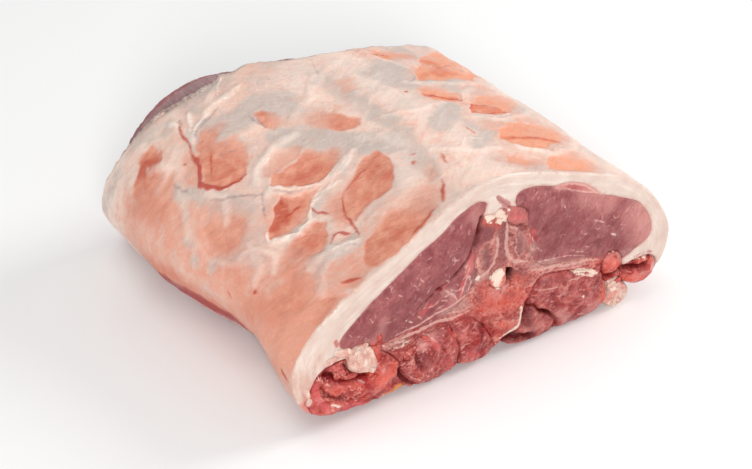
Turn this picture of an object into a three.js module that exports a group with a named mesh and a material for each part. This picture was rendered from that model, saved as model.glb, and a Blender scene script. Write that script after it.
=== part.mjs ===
import * as THREE from 'three';

// A short saddle of lamb, raw: two loins either side of the backbone under one
// sheet of fat, resting on its fillets and flanks. Millimetres, +Z up, the
// front cut face towards -Y. The section is drawn at the front cut as a net of
// shared edges, and every piece is one cell of that net carried to the rear.

// ---- driving dimensions ----
const frontWidth = 184;        // flank to flank across the front cut
const frontHeight = 86;        // ground to the crown of the fat at the front
const lengthAtSides = 159;     // front cut to rear cut, low on the sides
const crownShorter = 30;       // the rear cut leans forward by this at the crown
const leftSwell = 0.07;        // how much the left side widens to the rear
const rearShoulderLift = 19;   // how far the left shoulder fills out at the rear
const waistDepth = 0.11;       // the low left side draws in behind the front
const rightEase = 0.02;        // the right side draws in half way along
const crownSwell = 0.03;       // the crown rises a little half way along
const crownSag = 0.055;        // and falls again to the rear
const settle = 2.4;            // the soft underside spreads onto the ground
const clearance = 0.32;        // between neighbouring pieces
const spacing = 5.2;           // between points along an edge
const fatEndsShort = 8.5;      // the fat stops this far before the rear cut
const fatPulledBack = 10;      // and this much sooner over the left shoulder
const shoulderFlare = [-2.6, 0.8]; // past the fat the left loin swells out by this
const canalCentre = [0.3, 38.3];
const canalRadii = [6.3, 4.6];
const cordCentre = [-1, 38.3];
const cordRadii = [4.6, 3.9];
const stations = [0.1, 0.22, 0.34, 0.48, 0.64, 0.81];

// the drawn section is 184 wide and 86 high
const scaleX = frontWidth / 184;
const scaleZ = frontHeight / 86;

// ---- the edges of the section: x to the right, z up, y = 0 ----
const edges = {
  skin: [-88, 8, -93.5, 15, -96, 28, -91, 40, -79, 52, -65, 60, -54, 65, -42, 72.5, -28, 80.5,
    -13, 85.5, -3, 86, 9, 83.5, 20, 80, 39, 73.5, 55, 67, 66, 60.5, 74, 53.5, 80, 46,
    85.5, 37, 88, 29, 87, 20, 83, 12],
  flankFatL: [-88, 8, -90, 14, -88.5, 20.5, -85, 26, -79, 29, -72.5, 28.8],
  lumpFatL: [-72.5, 28.8, -71.5, 32],
  eyeFatL: [-71.5, 32, -75, 36, -74, 39.5, -71, 42.5, -61, 50.5, -50, 57.5, -39, 65, -30, 69.5,
    -24, 74, -18, 77, -13, 78, -9, 76.5, -9.3, 73.5, -10.5, 71],
  multFatL: [-10.5, 71, -8, 70.5, -5, 69.5],
  spineFat: [-5, 69.5, -3.5, 71.3, -1, 71.5, 1, 70],
  multFatR: [1, 70, 3, 70.6, 5.8, 69.8],
  eyeFatR1: [5.8, 69.8, 4.7, 73, 6.5, 76.2, 14, 76, 24.5, 72.5],
  stripFat: [24.5, 72.5, 28.5, 72.4, 34, 71, 40, 67.8, 44.6, 64, 47.5, 60.8],
  stripEye: [24.5, 72.5, 32.5, 67.4, 40, 63.6, 47.5, 60.8],
  eyeFatR2: [47.5, 60.8, 56, 56.7, 65, 52, 70, 48.5, 74.5, 42.5, 77, 36, 77, 31, 74, 28.3,
    69, 26.3, 63, 23.5],
  lobeFatR: [63, 23.5, 63.5, 19.5],
  flankFatR: [63.5, 19.5, 70, 20.5, 77, 20, 81.5, 17, 83, 12],
  eyeLump: [-71.5, 32, -67, 32.8, -62.5, 31],
  eyeFlankL: [-62.5, 31, -59, 30, -56, 29.5],
  lumpFlankL: [-72.5, 28.8, -71, 22.5, -66, 18.2, -60.5, 18.5, -59.5, 24, -62.5, 31],
  tipFlankL: [-56, 29.5, -56.5, 26.5],
  seamL: [-56, 29.5, -50, 33.5, -44, 37, -39, 40, -31, 44.5, -25, 47.5, -20, 50.5, -16.5, 55,
    -14.3, 60, -12, 66, -10.5, 71],
  multSpineL: [-5, 69.5, -4.6, 63.5, -6, 59, -9, 58.5, -12, 56, -13.5, 51, -13, 45, -15, 39,
    -19.5, 34.5, -26, 31.5, -34, 30.3, -44, 30.3, -56, 29.5],
  multSpineR: [1, 70, 1, 67, 1.5, 64],
  multLobeR: [1.5, 64, 4.5, 61.8, 8, 60, 11.5, 60.5],
  eyeMultR: [5.8, 69.8, 9.4, 67.6, 11.6, 64.4, 11.5, 60.5],
  eyeSpineR: [11.5, 60.5, 13.3, 55, 14.5, 49, 14.8, 43.5, 18, 38.5, 24, 35.5, 32, 34.3,
    40, 32.8, 47, 30.5, 53, 27.5],
  eyeLobeR: [53, 27.5, 54.5, 29.8, 58.5, 29.5, 61.5, 27, 63, 23.5],
  tpFilR: [53, 27.5, 49, 24.6, 43, 25.5, 36, 28, 29, 30.2, 22, 31.5, 18, 29.8, 15.5, 26,
    13.3, 19.5],
  bodyLobeR: [13.3, 19.5, 11.8, 14.5, 11.8, 9.5],
  bodyFree: [11.8, 9.5, 8, 8.8, 4, 8.3, 1, 7, -1, 4.5],
  bodyLobeB: [-1, 4.5, -4, 11, -7.5, 17.5, -11, 21.5],
  tpLobeB: [-11, 21.5, -14.5, 25.2, -20, 26, -25, 25.8],
  tpLobeA: [-25, 25.8, -32, 25.5, -40, 25, -46, 23.3, -51, 23.7, -56.5, 26.5],
  lobeABL: [-25, 25.8, -22, 19, -19.5, 13, -19, 8, -20.5, 3.5],
  flankFilL: [-56.5, 26.5, -51.5, 21.5, -48.5, 17.5, -47.3, 12, -46.5, 7, -46, 3.5],
  lobeAFree: [-46, 3.5, -42, 1, -36, 0, -28, 0, -23, 0.8, -20.5, 3.5],
  lobeBFree: [-20.5, 3.5, -15, 1, -9, 0.8, -4, 2, -1, 4.5],
  flankFreeL: [-88, 8, -83.5, 4.6, -75, 2.6, -66, 2, -57, 1.8, -50, 2, -46, 3.5],
  filLobeR: [13.3, 19.5, 17.5, 17.8, 20, 14.3, 25, 11.5, 28.5, 7, 28, 1],
  lobeRFree: [11.8, 9.5, 9, 6.8, 5, 6.6, 2.5, 5.2, 6, 2.2, 12, 0.3, 21, 0, 28, 1],
  filRFree: [28, 1, 33, 0, 43, 0, 51, 0.6, 55.5, 3.5],
  filLumpR: [55.5, 3.5, 56.2, 9, 55, 14.5],
  filLobeFlankR: [55, 14.5, 53.5, 18.5, 51.8, 22.5, 53, 27.5],
  lobeLumpR: [55, 14.5, 58.5, 15, 62, 15],
  lobeFlankR: [62, 15, 63.5, 19.5],
  flankLumpR: [62, 15, 63.5, 12.5, 66, 10],
  flankFreeR: [66, 10, 70, 7.5, 75, 7, 80, 8.3, 83, 12],
  lumpFreeR: [66, 10, 68.7, 6, 68, 2, 64, 0, 59, 0.3, 55.5, 3.5],
};

// ---- the pieces: their edges in order, "-" for an edge taken backwards ----
// round: how far the cut edges are turned in, bulge: how far a cut end stands proud
const pieces = {
  fat_cover: {
    round: 0.8, bulge: 0.2, colour: 0xe9d9cb, roughness: 0.5,
    loop: ['skin', '-flankFatR', '-lobeFatR', '-eyeFatR2', '-stripFat', '-eyeFatR1', '-multFatR',
      '-spineFat', '-multFatL', '-eyeFatL', '-lumpFatL', '-flankFatL'],
  },
  loin_eye_left: {
    round: 3.2, bulge: 1, flare: shoulderFlare, colour: 0x9b5159, roughness: 0.4,
    loop: ['eyeFatL', '-seamL', '-eyeFlankL', '-eyeLump'],
  },
  loin_eye_right: {
    round: 3.2, bulge: 1, colour: 0x9b5159, roughness: 0.4,
    loop: ['eyeFatR1', 'stripEye', 'eyeFatR2', '-eyeLobeR', '-eyeSpineR', '-eyeMultR'],
  },
  cap_strip: {
    round: 0.5, bulge: 0.4, colour: 0xa35a5a, roughness: 0.4,
    loop: ['stripFat', '-stripEye'],
  },
  multifidus_left: {
    round: 0.9, bulge: 0.6, colour: 0x94505a, roughness: 0.4,
    loop: ['multFatL', 'multSpineL', 'seamL'],
  },
  multifidus_right: {
    round: 0.8, bulge: 0.6, colour: 0xa8656a, roughness: 0.4,
    loop: ['multFatR', 'eyeMultR', '-multLobeR', '-multSpineR'],
  },
  backbone: {
    round: 0.4, bulge: 0.2, colour: 0xc08078, roughness: 0.55,
    loop: ['spineFat', 'multSpineR', 'multLobeR', 'eyeSpineR', 'tpFilR', 'bodyLobeR', 'bodyFree',
      'bodyLobeB', 'tpLobeB', 'tpLobeA', '-tipFlankL', '-multSpineL'],
  },
  fillet_left: {
    round: 1, bulge: 1, colour: 0xa84c4b, roughness: 0.35,
    loop: ['tpLobeA', 'flankFilL', 'lobeAFree', '-lobeABL'],
  },
  fillet_left_inner: {
    round: 1, bulge: 0.8, colour: 0xad504d, roughness: 0.35,
    loop: ['-tpLobeB', '-bodyLobeB', '-lobeBFree', '-lobeABL'],
  },
  fillet_right: {
    round: 1.2, bulge: 1, colour: 0xa5504f, roughness: 0.35,
    loop: ['tpFilR', 'filLobeR', 'filRFree', 'filLumpR', 'filLobeFlankR'],
  },
  fillet_right_inner: {
    round: 0.8, bulge: 0.8, colour: 0x9c5453, roughness: 0.35,
    loop: ['filLobeR', '-lobeRFree', '-bodyLobeR'],
  },
  flank_left: {
    round: 1.2, bulge: 1, colour: 0xb04a44, roughness: 0.3,
    loop: ['flankFatL', 'lumpFlankL', 'eyeFlankL', 'tipFlankL', 'flankFilL', '-flankFreeL'],
  },
  fat_lump_left: {
    round: 0.8, bulge: 0.8, colour: 0xe4cdbb, roughness: 0.45,
    loop: ['lumpFatL', 'eyeLump', '-lumpFlankL'],
  },
  flank_right_inner: {
    round: 0.7, bulge: 0.5, colour: 0xa04a49, roughness: 0.35,
    loop: ['eyeLobeR', 'lobeFatR', '-lobeFlankR', '-lobeLumpR', 'filLobeFlankR'],
  },
  flank_right: {
    round: 0.9, bulge: 0.8, colour: 0xa84541, roughness: 0.3,
    loop: ['flankFatR', '-flankFreeR', '-flankLumpR', 'lobeFlankR'],
  },
  fat_lump_right: {
    round: 0.8, bulge: 0.8, colour: 0xe0c5b6, roughness: 0.45,
    loop: ['lobeLumpR', 'flankLumpR', 'lumpFreeR', 'filLumpR'],
  },
};

// ---- the loaf's form ----
const step = (from, to, value) => {
  const t = Math.min(Math.max((value - from) / (to - from), 0), 1);
  return t * t * (3 - 2 * t);
};
const hill = (centre, spread, value) => Math.exp(-(((value - centre) / spread) ** 2));

const lengthAt = (z) => lengthAtSides - crownShorter * (Math.min(Math.max(z, 0), 90) / 86) ** 4;

// a point of the section, carried a fraction of the way to the rear
function carry(x, z, fraction, push) {
  const y = fraction * lengthAt(z) + push;
  const along = Math.min(Math.max(y / 150, 0), 1);
  const low = 1 - step(8, 46, z);
  const swell = leftSwell * step(0.2, 0.8, along) * step(-10, 60, -x) * step(-10, 26, z);
  const waist = waistDepth * hill(50, 28, y) * low * step(30, 80, -x);
  const ease = rightEase * Math.sin(Math.PI * along) * step(20, 70, x);
  const lift = rearShoulderLift * step(0.15, 0.95, along) * hill(-60, 36, x) * step(8, 50, z);
  const spread = settle * step(0.02, 0.1, along) * (1 - step(2, 16, z));
  const height = z * (1 + crownSwell * Math.sin(Math.PI * along) - crownSag * along ** 2);
  return [
    x * (1 + swell - waist - ease) * scaleX,
    y,
    Math.max(0, height + lift - spread) * scaleZ,
  ];
}

// ---- outlines ----
function edgePoints(name) {
  const flat = edges[name.replace('-', '')];
  const points = [];
  for (let i = 0; i < flat.length; i += 2) points.push(new THREE.Vector2(flat[i], flat[i + 1]));
  const curve = new THREE.SplineCurve(points);
  const spaced = curve.getSpacedPoints(Math.max(1, Math.round(curve.getLength() / spacing)));
  return name.startsWith('-') ? spaced.reverse() : spaced;
}

function outline(loop) {
  const points = loop.flatMap((name) => edgePoints(name).slice(0, -1));
  return THREE.ShapeUtils.isClockWise(points) ? points.reverse() : points;
}

function ellipse(centre, radii, count) {
  const curve = new THREE.EllipseCurve(centre[0], centre[1], radii[0], radii[1]);
  return curve.getPoints(count).slice(0, -1);
}

const cross = (a, b) => a.x * b.y - a.y * b.x;

// how far the outline's far side is from a point, looking inwards
function depthInside(points, index, direction) {
  const from = points[index];
  let nearest = Infinity;
  for (let k = 0; k < points.length; k += 1) {
    const next = (k + 1) % points.length;
    if (k === index || next === index) continue;
    const side = points[next].clone().sub(points[k]);
    const across = cross(direction, side);
    if (Math.abs(across) < 1e-9) continue;
    const gap = points[k].clone().sub(from);
    const distance = cross(gap, side) / across;
    const share = cross(gap, direction) / across;
    if (distance > 1e-6 && share >= 0 && share <= 1) nearest = Math.min(nearest, distance);
  }
  return nearest;
}

// the inward direction at a point of an outline
function inwardAt(points, i) {
  const before = points[(i + points.length - 1) % points.length];
  const after = points[(i + 1) % points.length];
  const a = points[i].clone().sub(before).normalize();
  const b = after.clone().sub(points[i]).normalize();
  const inward = new THREE.Vector2(-(a.y + b.y), a.x + b.x).normalize();
  return { inward, lean: Math.max(inward.dot(new THREE.Vector2(-a.y, a.x)), 0.4) };
}

// the outline drawn in by an amount, less where the piece is thin
function drawnIn(points, amount) {
  return points.map((point, i) => {
    const { inward, lean } = inwardAt(points, i);
    const room = depthInside(points, i, inward);
    return point.clone().addScaledVector(inward, Math.min(amount / lean, room * 0.33));
  });
}

// the side of an outline that faces along a direction, moved that way
function flared(points, drawn, flare, share) {
  const direction = new THREE.Vector2(...flare);
  const facing = direction.clone().normalize();
  return drawn.map((point, i) => {
    const weight = step(0, 0.8, -inwardAt(points, i).inward.dot(facing));
    return point.clone().addScaledVector(direction, weight * share);
  });
}

// ---- a piece: its outline carried through every station and closed by two caps ----
function loft(points, rings, hole) {
  const count = points.length;
  const holeCount = hole ? hole.length : 0;
  const positions = [];
  for (const ring of rings) {
    const drawn = drawnIn(points, ring.inset);
    const placed = ring.flare ? flared(points, drawn, ring.flare, ring.share) : drawn;
    placed.forEach((p, i) => positions.push(...carry(p.x, p.y, ring.at(drawn[i]), ring.push)));
    if (hole) for (const p of hole) positions.push(...carry(p.x, p.y, ring.at(p), ring.holePush));
  }
  const perRing = count + holeCount;
  const faces = [];
  const wall = (start, size, source, flip) => {
    for (let r = 0; r + 1 < rings.length; r += 1) {
      for (let j = 0; j < size; j += 1) {
        const k = (j + 1) % size;
        const a = r * perRing + start + j;
        const b = r * perRing + start + k;
        const c = a + perRing;
        const d = b + perRing;
        // both neighbours of a shared edge split its strips the same way
        const leftFirst = source[j].x + source[j].y * 0.01 < source[k].x + source[k].y * 0.01;
        const pair = leftFirst ? [a, b, d, a, d, c] : [a, b, c, b, d, c];
        if (flip) pair.reverse();
        faces.push(...pair);
      }
    }
  };
  wall(0, count, points, false);
  if (hole) wall(count, holeCount, hole, true);
  const capOutline = drawnIn(points, rings[0].inset);
  const cap = THREE.ShapeUtils.triangulateShape(capOutline, hole ? [hole] : []);
  const last = (rings.length - 1) * perRing;
  for (const [a, b, c] of cap) faces.push(a, c, b, last + a, last + b, last + c);
  // counter-clockwise outline seen from the front: the walls above face inwards
  for (let i = 0; i < faces.length; i += 3) [faces[i + 1], faces[i + 2]] = [faces[i + 2], faces[i + 1]];
  const geometry = new THREE.BufferGeometry();
  geometry.setAttribute('position', new THREE.Float32BufferAttribute(positions, 3));
  geometry.setIndex(faces);
  return geometry;
}

const fatEnd = (p) => {
  const short = fatEndsShort + fatPulledBack * hill(-56, 24, p.x) * step(20, 45, p.y);
  return 1 - short / lengthAt(p.y);
};

function ringsFor(piece, endsWithFat) {
  const half = clearance / 2;
  const turn = Math.min(piece.round, 1.2);
  const plain = (t) => () => t;
  const rearAt = endsWithFat ? fatEnd : plain(1);
  const rings = [
    { at: plain(0), push: -piece.bulge, holePush: 0, inset: half + turn },
    { at: plain(0), push: turn, holePush: turn, inset: half },
  ];
  for (const t of stations) rings.push({ at: plain(t), push: 0, holePush: 0, inset: half });
  if (!endsWithFat) rings.push({ at: fatEnd, push: 0.6, holePush: 0.6, inset: half });
  const flare = piece.flare;
  if (flare) rings.push({ at: fatEnd, push: 4.5, inset: half, flare, share: 0.8 });
  rings.push({ at: rearAt, push: -piece.round, holePush: -piece.round, inset: half, flare, share: 1 });
  if (piece.round > 2) {
    rings.push({ at: rearAt, push: -piece.round * 0.2, inset: half + piece.round * 0.4, flare, share: 0.9 });
  }
  rings.push({ at: rearAt, push: piece.bulge, holePush: 0, inset: half + piece.round, flare, share: 0.6 });
  return rings;
}

const saddle = new THREE.Group();

function addPiece(name, geometry, piece) {
  const flat = geometry.toNonIndexed();
  flat.computeVertexNormals();
  const material = new THREE.MeshStandardMaterial({
    color: piece.colour, roughness: piece.roughness, metalness: 0,
  });
  const mesh = new THREE.Mesh(flat, material);
  mesh.name = name;
  saddle.add(mesh);
}

for (const [name, piece] of Object.entries(pieces)) {
  const hole = name === 'backbone' ? ellipse(canalCentre, canalRadii, 14) : null;
  const rings = ringsFor(piece, name === 'fat_cover');
  addPiece(name, loft(outline(piece.loop), rings, hole), piece);
}

// the spinal cord lies loose in the canal
const cordPiece = { round: 0.6, bulge: 0.4, colour: 0xe8d8c4, roughness: 0.4 };
addPiece('spinal_cord', loft(ellipse(cordCentre, cordRadii, 12), ringsFor(cordPiece, false), null), cordPiece);

// origin under the middle of the loaf, on the ground
const box = new THREE.Box3().setFromObject(saddle);
saddle.position.set(-(box.min.x + box.max.x) / 2, -(box.min.y + box.max.y) / 2, -box.min.z);

export default saddle;
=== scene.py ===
import math

import bmesh
import bpy
import numpy as np
from mathutils import Matrix, Vector
from mathutils.geometry import delaunay_2d_cdt


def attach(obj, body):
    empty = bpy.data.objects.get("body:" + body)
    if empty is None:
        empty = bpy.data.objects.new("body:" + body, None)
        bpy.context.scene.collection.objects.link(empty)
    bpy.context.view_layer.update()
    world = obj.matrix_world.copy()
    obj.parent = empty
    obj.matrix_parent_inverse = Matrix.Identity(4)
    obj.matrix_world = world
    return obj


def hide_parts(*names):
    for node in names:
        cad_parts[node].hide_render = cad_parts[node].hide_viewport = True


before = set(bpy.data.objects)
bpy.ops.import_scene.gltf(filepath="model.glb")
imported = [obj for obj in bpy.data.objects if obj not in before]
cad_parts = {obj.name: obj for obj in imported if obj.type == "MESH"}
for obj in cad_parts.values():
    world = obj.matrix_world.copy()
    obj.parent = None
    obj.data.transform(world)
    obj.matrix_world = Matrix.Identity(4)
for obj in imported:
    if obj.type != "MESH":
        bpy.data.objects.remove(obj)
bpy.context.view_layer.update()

scene = bpy.context.scene
mm = 0.001
middleX, middleY = 7.3727, -79.5  # the drawn section sits at x 0, y 0 of the front cut


# camera, floor and light
camera = {"place": (-323.107, -497.58, 416.838), "azimuth": -33, "elevation": 34, "lens": 79.468}


def stand(thing, place, way):
    # puts a camera or a lamp at a place, looking along a way
    thing.location = place
    thing.rotation_mode = "QUATERNION"
    thing.rotation_quaternion = way.to_track_quat("-Z", "Y")
    scene.collection.objects.link(thing)


def setCamera():
    data = bpy.data.cameras.new("camera")
    data.lens = camera["lens"]
    data.sensor_width = 36
    data.clip_start, data.clip_end = 0.01, 20
    shot = bpy.data.objects.new("camera", data)
    a, e = math.radians(camera["azimuth"]), math.radians(camera["elevation"])
    back = Vector((math.sin(a) * math.cos(e), -math.cos(a) * math.cos(e), math.sin(e)))
    stand(shot, Vector(camera["place"]) * mm, -back)
    scene.camera = shot


studio = {
    "floor": 3.0, "floorColour": (0.93, 0.93, 0.925), "world": 0.5,
    "lights": [
        # name, place in metres, aimed at, size, watts
        ("overhead", (-0.25, 0.15, 1.25), (0.0, 0.0, 0.03), 0.7, 2.2),
        ("front", (-0.68, -1.3, 0.7), (0.0, -0.02, 0.03), 0.4, 14.6),
        ("right", (1.2, -0.2, 0.75), (0.0, 0.0, 0.03), 0.7, 10.5),
    ],
}


def setStudio():
    scene.view_settings.view_transform = "Standard"
    world = bpy.data.worlds.new("studio")
    world.use_nodes = True
    world.node_tree.nodes["Background"].inputs["Color"].default_value = (1, 1, 1, 1)
    world.node_tree.nodes["Background"].inputs["Strength"].default_value = studio["world"]
    scene.world = world
    for name, place, aim, size, watts in studio["lights"]:
        data = bpy.data.lights.new(name, "AREA")
        data.shape = "DISK"
        data.size = size
        data.energy = watts
        stand(bpy.data.objects.new(name, data), place, Vector(aim) - Vector(place))
    half = studio["floor"]
    mesh = bpy.data.meshes.new("floor")
    corners = [(-half, -half, 0), (half, -half, 0), (half, half, 0), (-half, half, 0)]
    mesh.from_pydata(corners, [], [(0, 1, 2, 3)])
    floor = bpy.data.objects.new("floor", mesh)
    scene.collection.objects.link(floor)
    paint = bpy.data.materials.new("floor")
    paint.use_nodes = True
    shader = paint.node_tree.nodes["Principled BSDF"]
    shader.inputs["Base Color"].default_value = (*studio["floorColour"], 1)
    shader.inputs["Roughness"].default_value = 0.6
    shader.inputs["Specular IOR Level"].default_value = 0.2
    mesh.materials.append(paint)
    floor.location.z = -0.0003


setCamera()
setStudio()
print("camera and studio set")


# small mathematics
def smooth(low, high, value):
    t = np.clip((value - low) / (high - low), 0, 1)
    return t * t * (3 - 2 * t)


def hill(centre, spread, value):
    return np.exp(-(((value - centre) / spread) ** 2))


def noise(points, size, seed=0):
    # gradient noise about -1 to 1, one value for each point
    q = np.asarray(points, float) / size + seed * 17.31
    cell = np.floor(q).astype(np.int64)
    f = q - cell
    u = f * f * f * (f * (f * 6 - 15) + 10)
    total = np.zeros(len(q))
    dims = q.shape[1]
    primes = (73856093, 19349663, 83492791)
    for corner in range(2 ** dims):
        offset = [(corner >> k) & 1 for k in range(dims)]
        mixed = np.full(len(q), seed * 40503 + 977, np.int64)
        for k in range(dims):
            mixed ^= (cell[:, k] + offset[k]) * primes[k]
        mixed = (mixed ^ (mixed >> 13)) * 1274126177 & 0x7FFFFFFF
        mixed = (mixed ^ (mixed >> 15)) * 668265263 & 0x7FFFFFFF
        weight = np.ones(len(q))
        dot = np.zeros(len(q))
        for k in range(dims):
            slope = ((mixed >> (10 * k)) & 1023) / 511.5 - 1
            dot += slope * (f[:, k] - offset[k])
            weight *= u[:, k] if offset[k] else 1 - u[:, k]
        total += weight * dot
    return total * 1.6


def layers(points, size, count, seed=0, gain=0.5):
    total = np.zeros(len(points))
    strength = 1.0
    for k in range(count):
        total += strength * noise(points, size / 2 ** k, seed + k)
        strength *= gain
    return total


def toLine(points, line):
    # distance from each point to a run of straight stretches, and how far along it that is
    line = np.asarray(line, float)
    best = np.full(len(points), 1e9)
    share = np.zeros(len(points))
    lengths = np.linalg.norm(np.diff(line, axis=0), axis=1)
    total = max(lengths.sum(), 1e-9)
    start = 0.0
    for a, b, length in zip(line[:-1], line[1:], lengths):
        side = b - a
        t = np.clip((points - a) @ side / max(side @ side, 1e-12), 0, 1)
        d = np.linalg.norm(points - a - t[:, None] * side, axis=1)
        nearer = d < best
        best = np.where(nearer, d, best)
        share = np.where(nearer, (start + t * length) / total, share)
        start += length
    return best, share


def inside(points, ring):
    ring = np.asarray(ring, float)
    x, z = points[:, 0], points[:, 1]
    odd = np.zeros(len(points), bool)
    for a, b in zip(ring, np.roll(ring, -1, axis=0)):
        crosses = (a[1] > z) != (b[1] > z)
        rise = b[1] - a[1] if abs(b[1] - a[1]) > 1e-12 else 1e-12
        odd ^= crosses & (x < (b[0] - a[0]) * (z - a[1]) / rise + a[0])
    return odd


def curve(points, steps=8):
    # a smooth curve through the points
    p = np.asarray(points, float)
    padded = np.vstack([p[:1], p, p[-1:]])
    t = np.linspace(0, 1, steps, endpoint=False)[:, None]
    runs = []
    for a, b, c, d in zip(padded, padded[1:], padded[2:], padded[3:]):
        runs.append(0.5 * (2 * b + (c - a) * t + (2 * a - 5 * b + 4 * c - d) * t * t
                           + (3 * b - a - 3 * c + d) * t ** 3))
    runs.append(p[-1:])
    return np.vstack(runs)


def spaced(points, gap):
    # the same curve with its points evenly spaced
    lengths = np.concatenate([[0], np.cumsum(np.linalg.norm(np.diff(points, axis=0), axis=1))])
    count = max(1, int(round(lengths[-1] / gap)))
    at = np.linspace(0, lengths[-1], count + 1)
    return np.stack([np.interp(at, lengths, points[:, k]) for k in range(points.shape[1])], 1)


# the joint's form, as in the solids: x to the right, y to the rear, z up
form = {
    "sides": 159, "crownShorter": 30, "leftSwell": 0.07, "rearLift": 19, "waist": 0.11,
    "rightEase": 0.02, "crownSwell": 0.03, "crownSag": 0.055, "settle": 2.4,
    "fatShort": 8.5, "fatPulled": 10, "fatRunsOn": 4.0, "flare": (-2.6, 0.8),
    "canal": ((0.3, 38.3), (6.3, 4.6)), "skinLength": 268.2,
}


def lengthAt(z):
    return form["sides"] - form["crownShorter"] * (np.clip(z, 0, 90) / 86) ** 4


def fatEnd(x, z):
    # how far to the rear the fat reaches
    short = form["fatShort"] + form["fatPulled"] * hill(-58, 27, x) * smooth(20, 45, z)
    return lengthAt(z) - short + form["fatRunsOn"] * hill(-38, 8, x) * smooth(50, 62, z)


def raggedEnd(s):
    # the fat's torn rear edge: how far it runs past its end, along the skin
    at = np.stack([np.asarray(s, float), np.zeros(np.shape(s))], 1)
    torn = 1.2 * np.abs(noise(at, 7, 91)) + 1.4 * smooth(0.05, 0.4, noise(at, 11, 92))
    torn += 0.35 * noise(at, 3.4, 93)
    return torn + 3.4 * hill(88, 2.4, s) + 1.5 * hill(60, 4, s)


def carry(x, z, y):
    # a point of the section, carried y to the rear
    along = np.clip(y / 150, 0, 1)
    swell = form["leftSwell"] * smooth(0.2, 0.8, along) * smooth(-10, 60, -x) * smooth(-10, 26, z)
    waist = form["waist"] * hill(50, 28, y) * (1 - smooth(8, 46, z)) * smooth(30, 80, -x)
    ease = form["rightEase"] * np.sin(np.pi * along) * smooth(20, 70, x)
    lift = form["rearLift"] * smooth(0.15, 0.95, along) * hill(-60, 36, x) * smooth(8, 50, z)
    spread = form["settle"] * smooth(0.02, 0.1, along) * (1 - smooth(2, 16, z))
    height = z * (1 + form["crownSwell"] * np.sin(np.pi * along) - form["crownSag"] * along ** 2)
    return np.stack([x * (1 + swell - waist - ease) + middleX, y + middleY,
                     np.maximum(0, height + lift - spread)], 1)


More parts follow.
